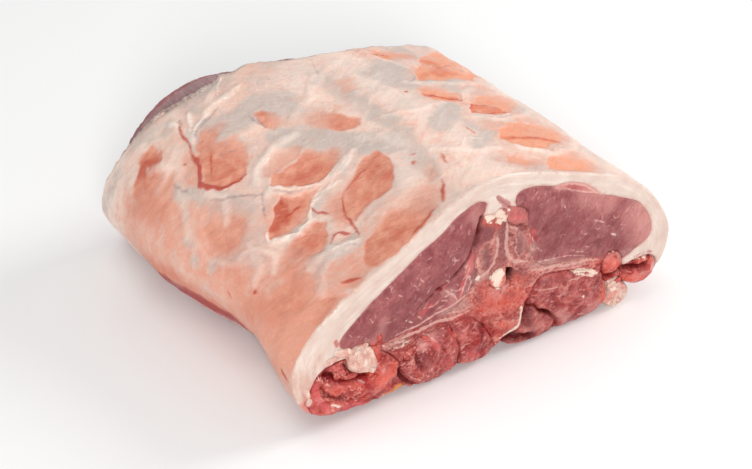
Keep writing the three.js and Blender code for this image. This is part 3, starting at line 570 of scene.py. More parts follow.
# colours seen on the cut face, as strokes: half width, strength, and the lines that they follow
faceMarks = {
    "cream": [
        (1.7, 1, [(-9.2, 70.2), (-7, 69.4), (-4.6, 69)]), (1.5, 1, [(-5, 71.4), (-2.4, 69.8), (-1.2, 67.8)],
         [(56.4, 11.4), (59.6, 12)]), (1.1, 0.9, [(-3.6, 67.4), (-2.4, 65)]), (1.2, 1, [(-0.8, 68),
         (0.2, 65.4)]), (0.9, 0.8, [(-7.6, 67.4), (-6.4, 66.8)]), (0.7, 0.8, [(1.4, 70.2), (2.2, 69)],
         [(-80.6, 11.2), (-78, 9.6), (-75.6, 7.6)]), (0.8, 0.8, [(68.5, 20.9), (73, 20.8), (77, 20.2)],
         [(10.2, 21), (10.8, 16), (10.2, 12.5), (8.6, 10.4), (4, 9.6), (0, 8.6)], [(-3, 42.4), (0, 42.6)]),
         (0.6, 0.7, [(79.4, 18.6), (81.4, 17.4)]), (2.6, 1, [(-4.4, 39.2), (-1.8, 40.6), (0.4, 40.2)]),
         (1.8, 1, [(-4.2, 37.2), (-0.4, 37.6)]), (1.2, 0.9, [(-2.2, 35.2), (-1, 33.6)]),
         (0.9, 0.7, [(-5.6, 40), (-5.8, 41.6)]), (1.2, 0.2, [(-12.8, 42.6), (-10.8, 43.8)]),
         (0.6, 0.4, [(-56, 28.4), (-55, 27)]), (0.8, 0.4, [(-51, 24.5), (-47, 24.8), (-43, 25.8)]),
         (1, 0.9, [(35.5, 27.7), (40, 26.8), (44, 25), (48.8, 22.6)]), (0.5, 0.7, [(38, 25.6), (43, 23.6),
         (47, 21.6)]), (0.5, 0.4, [(54.6, 29.3), (58.5, 28.9)]), (0.4, 0.7, [(-45.4, 35.8), (-42.8, 34.4)]),
         (0.3, 0.6, [(36, 37.6), (38.6, 36.6), (41, 36)]), (0.3, 0.7, [(54.5, 39.6), (56.5, 38.6),
         (58.2, 37.6)]), (0.4, 0.5, [(39.4, 15), (42.5, 13.4)]), (1.4, 1, [(62, 4.6), (65.4, 7)]),
         (0.9, 0.9, [(57.4, 3), (60, 3.4)]),
    ],
    # pale lines of sinew and skin; the short strokes on the seam near x -27 and -33, and the one from x -44.5
    # to -38.5 near the bottom, are painted glints
    "pale": [
        (0.7, 0.9, [(-3.2, 60), (-3, 55), (-3.6, 50), (-5.5, 46), (-9, 43.8), (-12, 43)]),
         (0.8, 0.9, [(1.2, 66), (1, 60), (1.2, 52), (2.6, 47.5), (5, 44.8), (9, 43.2), (12, 42)]),
         (0.4, 0.8, [(1.8, 62), (4, 60.5), (7.5, 58.5)], [(-16.6, 38), (-15.4, 42.5), (-17, 47)],
         [(-38, 26.4), (-35, 25), (-33, 22.5), (-31.3, 20.2)]), (0.6, 0.7, [(13.4, 48.6), (14.2, 46.2),
         (15.6, 46.6)], [(-12, 38.4), (-18, 36.6), (-24, 35.2), (-31, 34), (-40, 31.4), (-52, 31)]),
         (0.5, 0.7, [(-12.6, 54.6), (-12.4, 49), (-11, 45)]), (0.4, 0.6, [(6, 57), (5, 50), (7.4, 46)],
         [(14, 40), (22, 38.4), (32, 37), (42, 33.4)], [(12, 55), (15, 50)]), (0.6, 0.9, [(14, 37),
         (20, 34.8), (27, 34), (33, 31.8), (42, 30.8), (50, 28.2)]), (0.4, 0.7, [(17, 33.2), (26, 32.2),
         (34, 30), (44, 28.6)], [(-15, 30.6), (-22, 31), (-28, 31.6)], [(-68, 17), (-65, 15)], [(34, 24),
         (44, 23.6), (50, 21.4)]), (0.4, 0.9, [(25, 71.6), (32, 68.2), (40, 64.6), (47, 61.3)],
         [(-21.5, 36.5), (-24, 40), (-27.6, 43.4)], [(-20.4, 36.8), (-18.6, 42), (-17.4, 46.4)]),
         (0.3, 0.6, [(-45, 61.5), (-38, 66.2), (-30, 70.4)], [(-34, 27), (-30, 25), (-27, 25.4)], [(64, 46),
         (66.4, 44)], [(39.5, 45.6), (41.4, 44.2)], [(40, 17.6), (43, 16.6)], [(31, 25), (33, 26)],
         [(-55, 39.4), (-52.5, 38.4), (-50, 39)], [(-62, 44), (-60.6, 41)], [(-34, 48), (-36.6, 44.6)],
         [(-17, 52), (-18.6, 48)], [(27, 66), (30, 60)], [(11, 73.4), (13, 70)]), (0.8, 0.7, [(-16, 28.8),
         (-24, 28.6), (-32, 29.6), (-40, 28.6), (-50, 28.6)]), (0.8, 0.4, [(-54, 27), (-50, 27.4),
         (-45, 26.6)]), (0.3, 0.8, [(-29, 41), (-33, 38.4), (-35, 38)], [(-24, 45.6), (-21.4, 43.4)],
         [(54.8, 48.2), (56.6, 46.6), (58.5, 46.8)], [(20.3, 19.8), (23, 18.4), (26, 17.6)], [(-42.8, 52.4),
         (-41.2, 50.6), (-40.4, 49)], [(-23.6, 57.8), (-23, 55), (-24.4, 53.4)], [(-27, 47.6),
         (-25.6, 46.2)]), (0.35, 0.8, [(-26, 38), (-30, 40)], [(-25, 42.6), (-22, 41), (-19, 41.8)],
         [(-40, 36), (-38.4, 34)], [(-44.5, 9.2), (-41.5, 6.4), (-38.5, 4.2)], [(44.3, 50.2), (47.2, 48.4),
         (50.8, 46.8)], [(-25, 57), (-23.4, 55.6), (-21, 55)]), (0.3, 0.7, [(-16, 51), (-17.4, 47.6),
         (-19.6, 45)], [(-35, 41), (-37.4, 38.4)], [(-32, 36), (-28.4, 37)], [(-47, 33.6), (-45, 32.6)],
         [(51, 44.6), (54, 43.8)], [(39, 37.2), (41, 38.4), (43.6, 37)], [(33.5, 39), (36, 38.4)],
         [(59, 42.4), (62, 41.2)], [(45, 46), (47.4, 44.6)], [(27.5, 19.2), (30.4, 18)], [(-49.6, 50.2),
         (-47.4, 48.6)], [(-55, 50.6), (-53, 49.6)], [(-39.5, 53.2), (-37, 51.2)], [(-67.8, 38.4),
         (-66.2, 37)], [(-71, 40), (-69.8, 38.2)], [(-33, 44.8), (-31.4, 44.2)]), (0.5, 0.5, [(-28, 40.6),
         (-25, 41)]), (0.5, 0.6, [(40, 4.6), (44.5, 3.2)]), (0.35, 0.6, [(16, 47.6), (19, 44)]),
         (0.8, 0.8, [(25, 72.4), (29, 72.2), (34, 70.8), (40, 67.5), (44.6, 63.8), (47, 61.2)]),
         (0.3, 0.5, [(46, 56), (47.6, 52)]), (0.35, 0.7, [(16, 26.6), (22, 24.4), (30, 23.4)]),
    ],
    "nerve": [
        (1.5, 1, [(-4, 77.6), (-2.6, 75.6), (0, 73), (2.2, 70.8)]), (1.1, 0.8, [(-76.8, 39.6),
         (-76.2, 36.5)]), (1.3, 0.7, [(-91, 16.6), (-90, 14)]), (0.8, 0.7, [(79, 21.6), (76, 22.4)]),
    ],
    # pale grey and pink haze
    "haze": [
        (3.4, 0.9, [(-13.4, 43), (-11, 42), (-9.4, 43)]), (3.4, 0.5, [(-18, 40), (-17, 44)], [(30, 33.4),
         (42, 31)]), (3, 0.6, [(8, 50), (7, 56)], [(14.6, 48), (15, 46)]), (3.6, 0.6, [(-28, 32.4),
         (-18, 33)], [(16, 38), (26, 35.6)]), (3.4, 0.6, [(-54, 27), (-46, 26.6)]), (3, 0.5, [(-9, 54),
         (-9, 50)]), (3, 0.4, [(-24, 41), (-28, 43)]), (3.4, 0.4, [(60, 26), (66, 27)]),
    ],
    "rose": [
        (1.9, 0.6, [(-15.2, 55), (-16.2, 50), (-18, 46)]), (2, 0.8, [(14.4, 55), (13, 51)]),
         (1.6, 0.4, [(-30.6, 44.4), (-27, 45.4)]), (2, 0.7, [(-19, 44), (-20.4, 38)], [(78, 12), (72, 10)]),
         (2, 0.6, [(-34, 39), (-38, 37)]), (3.4, 0.8, [(-91.4, 15), (-89.4, 10), (-87, 7)]),
         (2.6, 0.8, [(-86.6, 22), (-86, 15), (-82, 10)]), (3.4, 0.7, [(-76, 6), (-66, 5)]),
         (2.4, 0.8, [(-77.6, 26), (-74.6, 22)]), (2.6, 0.6, [(57, 5), (58.4, 9)]), (2.2, 0.6, [(62.6, 12),
         (65, 8)]), (2, 0.5, [(4, 66), (9, 64)]), (2.4, 0.6, [(-34, 22), (-31, 18)], [(-15, 8), (-11, 5)]),
         (3, 0.5, [(-26, 8), (-24, 4)]),
    ],
    # broad darker places
    "dusk": [
        (4.6, 0.75, [(-1.4, 64), (-0.8, 56), (-0.4, 48)]), (5, 0.6, [(-15, 44), (-20, 40)]),
         (6, 0.5, [(-48, 28), (-38, 28), (-28, 28)], [(14, 66), (18, 58)]), (3.4, 0.6, [(-11, 38),
         (-10, 32)]), (4, 0.5, [(8, 38), (12, 32)], [(54, 36), (60, 33)], [(-38, 15), (-36, 11)]),
         (3, 0.8, [(-8.4, 56), (-8.2, 50), (-8, 47)]), (3.4, 0.8, [(-8.6, 66.5), (-9.2, 61)]),
         (3.4, 0.7, [(7, 54), (7, 48)]), (7, 0.55, [(22, 55), (24, 45)]), (4, 0.7, [(46, 38.5), (50, 36.4)]),
         (6, 0.4, [(30, 57), (34, 48)]), (5, 0.4, [(40, 42), (44, 46)]), (6, 0.6, [(-52, 33.5), (-44, 36)]),
         (6, 0.45, [(-60, 35.5), (-52, 37)]), (7, 0.5, [(-42, 42), (-32, 48), (-22, 55)]),
         (4.5, 0.5, [(-17, 58), (-16, 64)]), (6, 0.3, [(-24, 54), (-18, 57)]), (5, 0.35, [(-25, 66),
         (-21, 62)]), (3.4, 0.5, [(-36, 38.6), (-30, 38)]), (3, 0.5, [(-21, 46), (-18, 44)], [(36, 4),
         (44, 3)]), (3, 0.4, [(20, 28), (30, 27)]), (3.4, 0.4, [(14, 16), (16, 8)]),
    ],
    # seams, pits and clots: the seams, pits and gaps are painted shade, the clots dark red
    "shade_and_clots": [
        (2, 1, [(-11.2, 71), (-12, 67)]), (2.9, 1, [(-12.4, 65.4), (-13.2, 62), (-14.2, 59.4)]),
         (1.3, 1, [(-14.4, 59), (-15.4, 56.4), (-17, 54), (-20, 50.5), (-22.5, 48.8)], [(-29.4, 44.8),
         (-31.6, 45.2)]), (1.2, 0.9, [(-22.5, 48.8), (-24.6, 47.6)], [(-9.5, 19.5), (-8.4, 18)]),
         (0.8, 0.7, [(-27, 46.4), (-29, 45.6)], [(-5.8, 19.4), (-4.8, 17)], [(-8.6, 14.6), (-9.8, 11)]),
         (1, 0.8, [(-32.6, 43.8), (-36, 41.8)]), (0.8, 0.6, [(-38, 40.6), (-40, 39.4)], [(-90, 19.6),
         (-89.8, 18.4)]), (2.6, 0.7, [(13.8, 20), (13.4, 14), (14, 10.5)]), (3, 1, [(3, 6.2), (8, 5.6),
         (13, 4.6), (17, 3)]), (1.2, 0.7, [(3.6, 57.4), (2.6, 58.4)]), (1.5, 1, [(20.8, 13.6), (22.6, 12.4),
         (25, 11)]), (0.8, 0.5, [(-51.8, 28.4), (-51, 27.4)], [(-41.4, 27.2), (-40, 26.4)]),
         (0.7, 0.5, [(-48, 26.4), (-47.2, 25.6)]), (2.2, 0.9, [(-81, 25.4), (-78, 24)]),
         (1.4, 0.9, [(-74, 27.6), (-73, 24.6)]), (1.8, 0.9, [(62, 19), (67, 18.2), (72, 17)]),
         (0.6, 0.5, [(5.4, 16.6), (8.2, 15.4)]), (1.5, 0.8, [(-48.4, 12), (-46.4, 8), (-43, 4.4)]),
         (1.2, 0.6, [(-40.6, 17), (-38, 10)]), (1.4, 0.8, [(2.4, 40.8), (3.4, 37)]), (0.8, 0.8, [(7, 59),
         (8.6, 57.8)]),
    ],
    "blood": [
        (3, 0.9, [(54.5, 18.5), (57.5, 17.2)]), (2.2, 0.9, [(-80, 23), (-76, 20.6), (-70, 18.8),
         (-64, 16.6)]), (3, 0.8, [(-64.5, 15), (-63, 12)]), (1.3, 0.6, [(-31, 45.4), (-29.6, 44.6)]),
         (2.6, 0.7, [(-9, 21.6), (-3, 21.4)]), (2.4, 0.7, [(1.5, 20.6), (4, 18.8)]), (1.8, 0.5, [(14, 53.5),
         (15.4, 51)]), (4, 0.8, [(-11.5, 13.5), (-8.5, 18.5)], [(-7, 17), (-3, 13)]), (3, 0.6, [(-13, 23),
         (-18, 26)]), (2.4, 0.5, [(2, 30), (6, 28)], [(15, 26), (14, 21)]), (2.6, 0.5, [(-14, 27),
         (-11, 25)]), (1.6, 0.5, [(-30, 28), (-27, 27)]), (2.2, 0.5, [(-43, 28), (-40, 27.4)]),
         (2.2, 0.7, [(73, 15.6), (77, 15)]), (1.6, 0.6, [(-75, 27), (-73, 25)]), (2, 0.6, [(-26, 24),
         (-22, 20)], [(-80, 15), (-76, 12)]),
    ],
    "blush": [
        # the broad stroke at the right end of the right eye is painted light: that end is lit brighter
        (16, 0.75, [(76, 36), (72, 44)]), (9, 0.5, [(40, 63), (52, 56)]), (5, 0.5, [(-14, 74), (-12, 69)],
         [(52, 5), (46, 4)]), (3.4, 0.5, [(-16, 49), (-17, 54)]), (4, 0.35, [(-24, 38), (-18, 39)]),
         (4, 0.6, [(34, 5), (30, 9)], [(-38, 21), (-33, 24)]), (4, 0.5, [(-60, 33), (-57, 36), (-56, 40)],
         [(14, 8), (21, 7)]), (3, 0.5, [(-52, 12), (-56, 17)], [(6, 14), (8, 12)], [(-6, 25), (-2, 24)]),
         (3.4, 0.8, [(-4, 32.4), (-1.6, 30)]), (2.4, 0.6, [(1.4, 34), (1, 31)]), (3.6, 0.6, [(55.6, 26.6),
         (58.6, 25.6)]), (3, 0.6, [(70, 12), (76, 11)]), (3, 0.7, [(73, 13.6), (80, 14)]),
         (2.8, 0.8, [(24.5, 72.4), (28, 71.6)], [(43.4, 64), (47.5, 61)]),
    ],
    "coral": [
        (1.6, 0.9, [(54.2, 21), (54, 15), (53.4, 8), (53, 3)]), (2.2, 0.8, [(76.5, 14), (78.6, 17)]),
         (8, 0.6, [(-6, 29), (0, 26), (7, 27)]), (5, 0.5, [(-10, 38), (-8, 34)]), (4, 0.4, [(6, 36),
         (10, 33)]), (2.4, 0.5, [(-10, 68.4), (-6, 66.4), (-3.4, 64)], [(-58, 24), (-60, 31)]),
         (4, 0.8, [(-61, 16), (-56, 12), (-51, 16)], [(56, 25.5), (59, 23)]), (2.5, 0.6, [(-90, 20),
         (-89, 15)]), (1.2, 0.6, [(-77, 39), (-76.5, 36.5)]), (3, 0.7, [(66, 12), (74, 11)]),
         (3, 0.5, [(-84, 20), (-78, 17)]), (3, 0.6, [(0, 16), (6, 13)]),
    ],
    "amber": [
        (1.7, 0.9, [(-54, 3.6), (-50, 4.2), (-47.6, 5)]),
    ],
}


# outer fell, in mm along the skin from its left foot and mm to the rear
# patches where the flesh shows through: strength, softness of the edge, the way it fades, and outline
fellPatches = [
    (1, 2.4, (-4, -8), [(36, 128), (43, 131), (51, 128), (52, 121), (47, 116), (43, 110), (38, 107),
        (33, 112), (31, 122)]),
    (0.5, 2.2, (0, -3), [(41, 110), (49, 109), (49, 102), (42, 101)]),
    (0.7, 1.2, (6, 2), [(60, 107), (62, 110), (68, 111), (74, 109), (75, 105), (70, 103), (66, 101),
        (60, 101)]),
    (0.85, 0.9, (9, 5), [(58, 103), (66, 102), (70, 99), (74, 96), (75, 90), (71, 84), (68, 80), (62, 79),
        (56, 83), (54, 89), (57, 96)]),
    (0.75, 1.1, (5, -3), [(84, 101), (89, 100), (93, 95), (92, 88), (87, 88), (84, 94)]),
    (0.6, 3, (3, 3), [(41, 60), (40, 74), (46, 84), (53, 84), (57, 74), (58, 64), (50, 59)]),
    (0.75, 1.6, (-5, 6), [(98, 81), (103, 84), (108, 82), (112, 75), (116, 68), (114, 63), (107, 66),
        (101, 73)]),
    (0.4, 1.3, (0, 4), [(70, 73), (75, 77), (81, 78), (88, 76), (91, 72), (88, 70), (80, 70), (74, 70)]),
    (1, 0.8, (9, 2), [(70, 67), (74, 70), (82, 69), (89, 69), (94, 65), (100, 60), (99, 57), (93, 53),
        (86, 53), (81, 57), (76, 62)]),
    (1, 0.8, (3, -7), [(56, 48), (58, 52), (63, 55), (67, 59), (71, 60), (74, 56), (79, 53), (79, 50),
        (75, 47), (70, 44), (64, 43), (59, 45)]),
    (0.8, 1.6, (-8, -4), [(51, 38), (58, 41), (66, 40), (73, 42), (77, 37), (74, 31), (69, 27), (62, 27),
        (55, 30)]),
    (0.9, 1.3, (-8, 5), [(79, 43), (84, 46), (90, 43), (97, 45), (104, 47), (111, 47), (112, 40), (110, 33),
        (104, 27), (97, 27), (90, 30), (85, 28), (82, 33), (79, 37)]),
    (0.6, 3, (8, -6), [(39, 30), (46, 28), (54, 30), (61, 25), (67, 21), (60, 13), (54, 11), (45, 13),
        (39, 20)]),
    (0.85, 1.8, (10, 7), [(75, 9), (80, 15), (88, 17), (95, 18), (103, 16), (112, 18), (116, 13), (116, 8),
        (110, 4), (100, 1), (88, 1), (78, 3)]),
    (0.6, 2.2, (-4, 3), [(42, 9), (56, 9), (60, 3), (46, 1)]),
    (0.5, 2.2, (3, 3), [(62, 6), (72, 10), (78, 5), (68, 1)]),
    (0.35, 3, (2, 3), [(118, 84), (124, 92), (130, 90), (128, 84)]),
    (0.4, 3, (2, 4), [(114, 16), (118, 28), (124, 28), (120, 16)]),
    (0.8, 1.8, (6, 6), [(154, 116), (160, 123), (170, 125), (178, 121), (172, 116), (163, 113)]),
    (1, 1.3, (40, 26), [(159, 86), (163, 95), (168, 101), (175, 108), (181, 116), (189, 122), (198, 128),
        (208, 138), (222, 148), (236, 150), (238, 138), (226, 122), (210, 106), (202, 98), (193, 92),
        (184, 89), (172, 87)]),
    (0.8, 1.2, (4, 6), [(149, 68), (151, 77), (158, 80), (166, 77), (171, 72), (168, 66), (160, 63),
        (152, 64)]),
    (0.95, 1, (14, 8), [(161, 51), (165, 57), (170, 63), (178, 69), (188, 74), (199, 77), (205, 75),
        (200, 66), (190, 59), (180, 52), (170, 50)]),
    (1, 1, (12, 8), [(160, 30), (165, 37), (172, 42), (182, 44), (193, 43), (200, 40), (195, 33), (189, 27),
        (180, 23), (170, 20), (163, 23)]),
    (0.65, 1.6, (4, 4), [(148, 8), (150, 14), (157, 16), (163, 13), (160, 8)]),
    (0.8, 1.6, (10, 6), [(164, 3), (168, 10), (178, 17), (190, 16), (196, 12), (192, 5), (180, 2)]),
    (0.8, 2, (4, 14), [(235, 60), (240, 81), (250, 105), (258, 114), (261, 105), (255, 88), (247, 62),
        (241, 51)]),
    (0.8, 2, (3, 10), [(244, 115), (250, 133), (256, 143), (261, 138), (257, 124), (249, 111)]),
    (0.5, 2.4, (3, 8), [(226, 38), (232, 58), (238, 52), (234, 36)]),
    (0.6, 2.4, (2, 10), [(246, 24), (250, 44), (257, 40), (254, 22)]),
]
fellLines = {
    "vein": [
        (0.45, 0.9, [(62, 124), (61, 118), (60, 111), (58, 106)]), (0.8, 1, [(58, 108), (57, 100), (55, 95),
         (53, 91), (54, 86), (58, 82), (63, 79.5), (67, 79)]), (0.35, 0.8, [(57, 90), (61, 96), (64, 100)],
         [(163, 54), (170, 62), (180, 62)]), (0.5, 0.9, [(76, 47), (77, 43), (79, 40)], [(72, 27), (77, 29),
         (80, 25)]), (0.4, 0.9, [(88, 41), (85, 35), (83, 29), (82, 23), (81, 20)], [(64, 51), (70, 51),
         (74, 52)]), (0.35, 0.7, [(88, 41), (95, 43), (104, 42)]), (0.4, 1, [(96, 2), (104, 3.5),
         (110, 4.5)]), (0.5, 1, [(113, 4), (116, 9), (119, 13)], [(54, 105), (54, 106)]), (0.7, 1, [(64, 8),
         (67, 6.5), (70, 4)], [(13, 84), (13, 86)]), (0.6, 1, [(19, 4), (22, 8)]), (0.3, 0.9, [(148, 33),
         (148, 38)]), (0.5, 0.8, [(117, 28), (118, 30)], [(142, 72), (144, 73)], [(150, 69), (160, 67),
         (167, 68)]), (0.4, 0.8, [(120, 33), (119, 34)], [(28, 52), (29, 54)], [(162, 52), (172, 52),
         (184, 56)], [(164, 30), (172, 31), (180, 29), (191, 28)], [(156, 116), (160, 119), (166, 119)]),
         (0.4, 0.7, [(126, 20), (127, 25)], [(44, 128), (46, 122)]), (0.6, 0.9, [(37, 39), (39, 37)]),
         (0.7, 0.9, [(70, 59), (70, 58)]), (0.35, 0.6, [(175, 101), (188, 106), (200, 112)]),
    ],
    # thin raised ridges, partly the membrane's cream and partly painted highlight along their crests
    "lit_ridge": [
        (0.5, 1, [(62, 111), (66, 114), (72, 117), (80, 118), (90, 117.5)]), (0.7, 0.9, [(61, 126),
         (61, 121)], [(67, 124), (65, 119), (63, 114)]), (0.5, 0.9, [(88, 133), (84, 128), (80, 122)],
         [(78, 47), (84, 49), (92, 47)]), (0.6, 0.9, [(69, 66), (76, 60), (83, 55), (90, 52.5), (100, 55)]),
         (0.7, 1, [(57, 47), (60, 43.5), (66, 41), (72, 43), (77, 48), (84, 51)]), (0.4, 0.8, [(85, 49),
         (94, 50), (104, 52)]), (0.4, 0.7, [(160, 49), (172, 48), (186, 53)], [(160, 61), (168, 66),
         (173, 73)], [(168, 18), (180, 20), (192, 26)], [(70, 24), (77, 22), (82, 18)], [(70, 72), (74, 77),
         (80, 79)]), (0.4, 0.6, [(134, 24), (142, 30), (150, 28)]), (0.35, 0.6, [(118, 96), (126, 102),
         (136, 104)], [(122, 70), (130, 76), (138, 76)], [(140, 112), (146, 118), (156, 122)]),
    ],
    # soft raised folds, painted lighter on their backs: painted highlight
    "lit_fold": [
        (2, 0.9, [(60, 127), (61, 121), (61.5, 115)]), (1.8, 0.9, [(67, 124), (65, 118), (62, 112)]),
         (3.4, 0.5, [(54, 114), (49, 103), (43, 93), (37, 83)]), (2, 0.35, [(37, 83), (35, 70), (39, 57),
         (46, 49)]), (2.4, 0.8, [(62, 111), (68, 115), (76, 119), (90, 120)]), (2.6, 0.9, [(67, 73),
         (73, 79), (82, 81.5), (92, 79)], [(68, 65), (76, 58.5), (83, 53.5), (92, 51), (104, 54)]),
         (2.2, 0.9, [(57, 46), (62, 42), (67, 40), (73, 42)]), (3.4, 0.8, [(44, 122), (50, 112), (52, 106)]),
         (2.6, 0.7, [(75, 122), (82, 127), (88, 134)], [(50, 70), (56, 78), (52, 86)], [(168, 64), (174, 74),
         (184, 80)]), (3, 0.7, [(60, 24), (70, 25), (80, 19)], [(160, 47), (172, 46), (186, 50), (202, 60)],
         [(150, 84), (162, 83), (182, 84), (198, 90)]), (2.4, 0.7, [(44, 54), (50, 50), (54, 42), (49, 36)]),
         (3.4, 0.6, [(108, 58), (115, 52), (120, 40)]), (3, 0.6, [(56, 10), (62, 19), (72, 22)], [(150, 124),
         (160, 112), (164, 102)], [(112, 96), (122, 104), (134, 110)], [(98, 88), (108, 92), (118, 104)]),
         (3, 0.8, [(162, 22), (178, 17), (192, 22), (206, 34)]), (2.4, 0.6, [(124, 60), (140, 56),
         (154, 62)], [(126, 30), (140, 20), (152, 22)], [(188, 104), (196, 100), (206, 112)]),
         (2.6, 0.6, [(40, 40), (46, 44), (50, 54)]),
    ],
    # shadows beside the folds
    "groove": [
        (1, 0.8, [(83, 101), (83, 97), (85, 92)]), (0.7, 0.8, [(61, 108), (64, 111.5), (69, 113.5),
         (76, 115)]), (0.6, 0.8, [(51, 83), (57, 76), (62, 71), (66, 67)]), (0.5, 0.8, [(66, 67), (64, 63),
         (60, 57)]), (0.6, 0.7, [(46, 104), (47, 98), (49, 93)]), (0.5, 0.7, [(72, 26), (75, 22), (78, 19)],
         [(63, 126), (62, 119)], [(69, 64), (75, 58.6), (82, 53.6)]), (0.4, 0.7, [(56, 12), (60, 18)],
         [(126, 120), (122, 110), (120, 102)]), (0.5, 0.6, [(118, 20), (124, 26)], [(80, 24), (86, 26)]),
         (0.6, 0.6, [(150, 82), (156, 86), (162, 92)]), (0.4, 0.6, [(160, 47), (172, 46.6), (184, 51)],
         [(141, 76), (140, 70)], [(64, 96), (70, 92)]), (1.6, 0.7, [(150, 129), (158, 131.5), (168, 132)]),
    ],
    "ruddy": [
        (7, 1, [(41, 128), (46, 122)]), (7, 0.4, [(37, 113), (40, 118)]), (6, 1, [(61, 52), (68, 57),
         (66, 51)]), (7, 0.5, [(104, 41), (106, 32)]), (6, 0.5, [(86, 8), (98, 8)]), (5, 0.6, [(78, 64),
         (86, 60), (94, 57)], [(60, 34), (68, 34)]), (4, 0.5, [(58, 88), (66, 84)]), (4, 0.6, [(157, 117),
         (166, 118)], [(162, 88), (170, 95)], [(250, 100), (255, 110)], [(250, 120), (256, 136)]),
         (9, 0.8, [(177, 95), (186, 100), (183, 112)]), (3.4, 0.9, [(151, 69), (160, 67), (166, 68)]),
         (4.6, 1, [(163, 53), (171, 60), (180, 58), (172, 53)]), (3.6, 0.9, [(163, 30), (172, 31), (180, 29),
         (190, 28)]), (5, 0.4, [(108, 70), (112, 66)]),
    ],
    "silver": [
        (13, 0.95, [(66, 108), (80, 104), (98, 99)]), (9, 0.9, [(86, 84), (100, 66), (118, 42)]),
         (7, 0.6, [(46, 100), (51, 84), (60, 66)]), (7, 0.7, [(60, 20), (70, 26), (60, 34)]),
         (9, 0.6, [(118, 18), (124, 52), (118, 100)], [(92, 80), (106, 60), (114, 50)]),
         (14, 0.8, [(158, 104), (142, 92), (148, 82)]), (9, 0.8, [(136, 40), (156, 58)]), (6, 0.6, [(66, 44),
         (84, 48)], [(32, 66), (42, 60), (48, 46)]), (8, 0.7, [(64, 24), (80, 20)]), (6, 0.5, [(30, 74),
         (42, 90), (48, 100)]), (10, 0.6, [(20, 148), (34, 142)]), (8, 0.6, [(48, 138), (58, 128)]),
         (6, 0.7, [(160, 84), (180, 86)], [(142, 24), (158, 34)]),
    ],
    # broad cream places; the bands from 206 to 226 along are partly painted highlight, where the fat glares
    # on the right
    "cream": [
        (18, 0.8, [(134, 10), (136, 60), (136, 118)]), (16, 0.9, [(214, 6), (222, 40), (226, 76)]),
         (20, 1, [(12, 150), (22, 144), (34, 146)]), (12, 0.6, [(206, 84), (216, 100)]), (6, 0.8, [(48, 134),
         (62, 128)]), (16, 0.7, [(108, 104), (122, 118)]), (9, 0.7, [(112, 24), (120, 60), (112, 88)]),
    ],
    "peach": [
        (32, 0.6, [(4, 50), (12, 90), (26, 114)]), (34, 0.95, [(8, 50), (26, 26), (42, 6)]),
         (22, 0.7, [(32, 50), (36, 100)]), (18, 0.6, [(54, 12), (92, 12)], [(56, 100), (64, 92)]),
         (9, 0.4, [(110, 74), (124, 90)]), (10, 0.7, [(52, 32), (64, 34)]), (12, 0.6, [(84, 34), (100, 36)]),
         (16, 0.7, [(66, 52), (88, 60)]), (14, 0.5, [(150, 120), (176, 118)]), (16, 0.6, [(168, 92),
         (200, 110)], [(164, 34), (196, 36)]), (14, 0.6, [(156, 68), (186, 62)]), (12, 0.5, [(150, 10),
         (190, 8)]), (12, 0.3, [(126, 60), (132, 20)]), (6, 0.6, [(240, 100), (258, 140)], [(232, 80),
         (258, 115)], [(235, 40), (250, 60)]), (18, 0.5, [(184, 20), (186, 60), (190, 110)]),
    ],
    "warm": [
        (9, 0.9, [(9, 56), (14, 70), (16, 90), (12, 112)]), (12, 0.5, [(6, 30), (14, 10)]),
         (9, 0.5, [(30, 40), (40, 18)]), (8, 0.6, [(36, 104), (30, 122)]), (16, 0.4, [(40, 26), (44, 58)]),
         (12, 0.4, [(50, 24), (62, 30)]),
    ],
    "lean": [
        (8, 1, [(2, 50), (8, 62), (10, 76), (9.6, 94), (6, 112), (0, 124)]),
    ],
}


def nearestOf(points, ring):
    # the nearest point of the ring to each point
    found = np.empty(len(points), int)
    for start in range(0, len(points), 2000):
        part = points[start:start + 2000]
        gaps = ((part[:, None, :] - ring[None, :, :]) ** 2).sum(2)
        found[start:start + 2000] = gaps.argmin(1)
    return found


def nearTo(points, line, width):
    low, high = np.min(line, 0) - width, np.max(line, 0) + width
    return np.where(((points > low) & (points < high)).all(1))[0]


def touched(points, marks, reach=0):
    # the points near each line of the marks, their distance from it and their share along it
    for width, strength, *runs in marks:
        for line in runs:
            near = nearTo(points, line, width + reach)
            if len(near):
                yield (width, strength, near, *toLine(points[near], line))


def strokes(points, marks, ramp=1.6):
    # narrow marks as a slope that passes a half at their edge, so that the shader can cut it clean
    value = np.zeros(len(points))
    for width, strength, near, d, share in touched(points, marks, ramp):
        taper = np.clip(0.4 + 3 * np.minimum(share, 1 - share), 0, 1)
        uneven = width * taper * (1 + 0.35 * noise(points[near], 2 * width + 1, 33))
        slope = np.clip(0.5 - 0.25 * (1 - strength) + (uneven - d) / ramp, 0, 1)
        value[near] = np.maximum(value[near], slope)
    return value


def glows(points, marks):
    # broad soft marks
    value = np.zeros(len(points))
    for width, strength, near, d, share in touched(points, marks):
        value[near] = np.maximum(value[near], strength * smooth(width, 0.15 * width, d))
    return value


def creased(points, share):
    depth = np.zeros(len(points))
    for width, deep, near, d, _ in touched(points, creases):
        k = np.clip(1 - d / width, 0, 1)
        depth[near] = np.maximum(depth[near], share * deep * (1 - np.sqrt(1 - k * k)))
    return depth


def foldsAt(points, seed):
    # small soft folds, from about 1 on their backs to -1 and less between them
    bent = points + 2.2 * np.stack([noise(points, 9, seed), noise(points, 9, seed + 1)], 1)
    return 0.9 - 2.6 * np.abs(noise(bent, 7.5, seed + 2)) - 1.2 * np.abs(noise(bent, 3.4, seed + 3))


def closed(ring):
    return np.vstack([ring, ring[:1]])


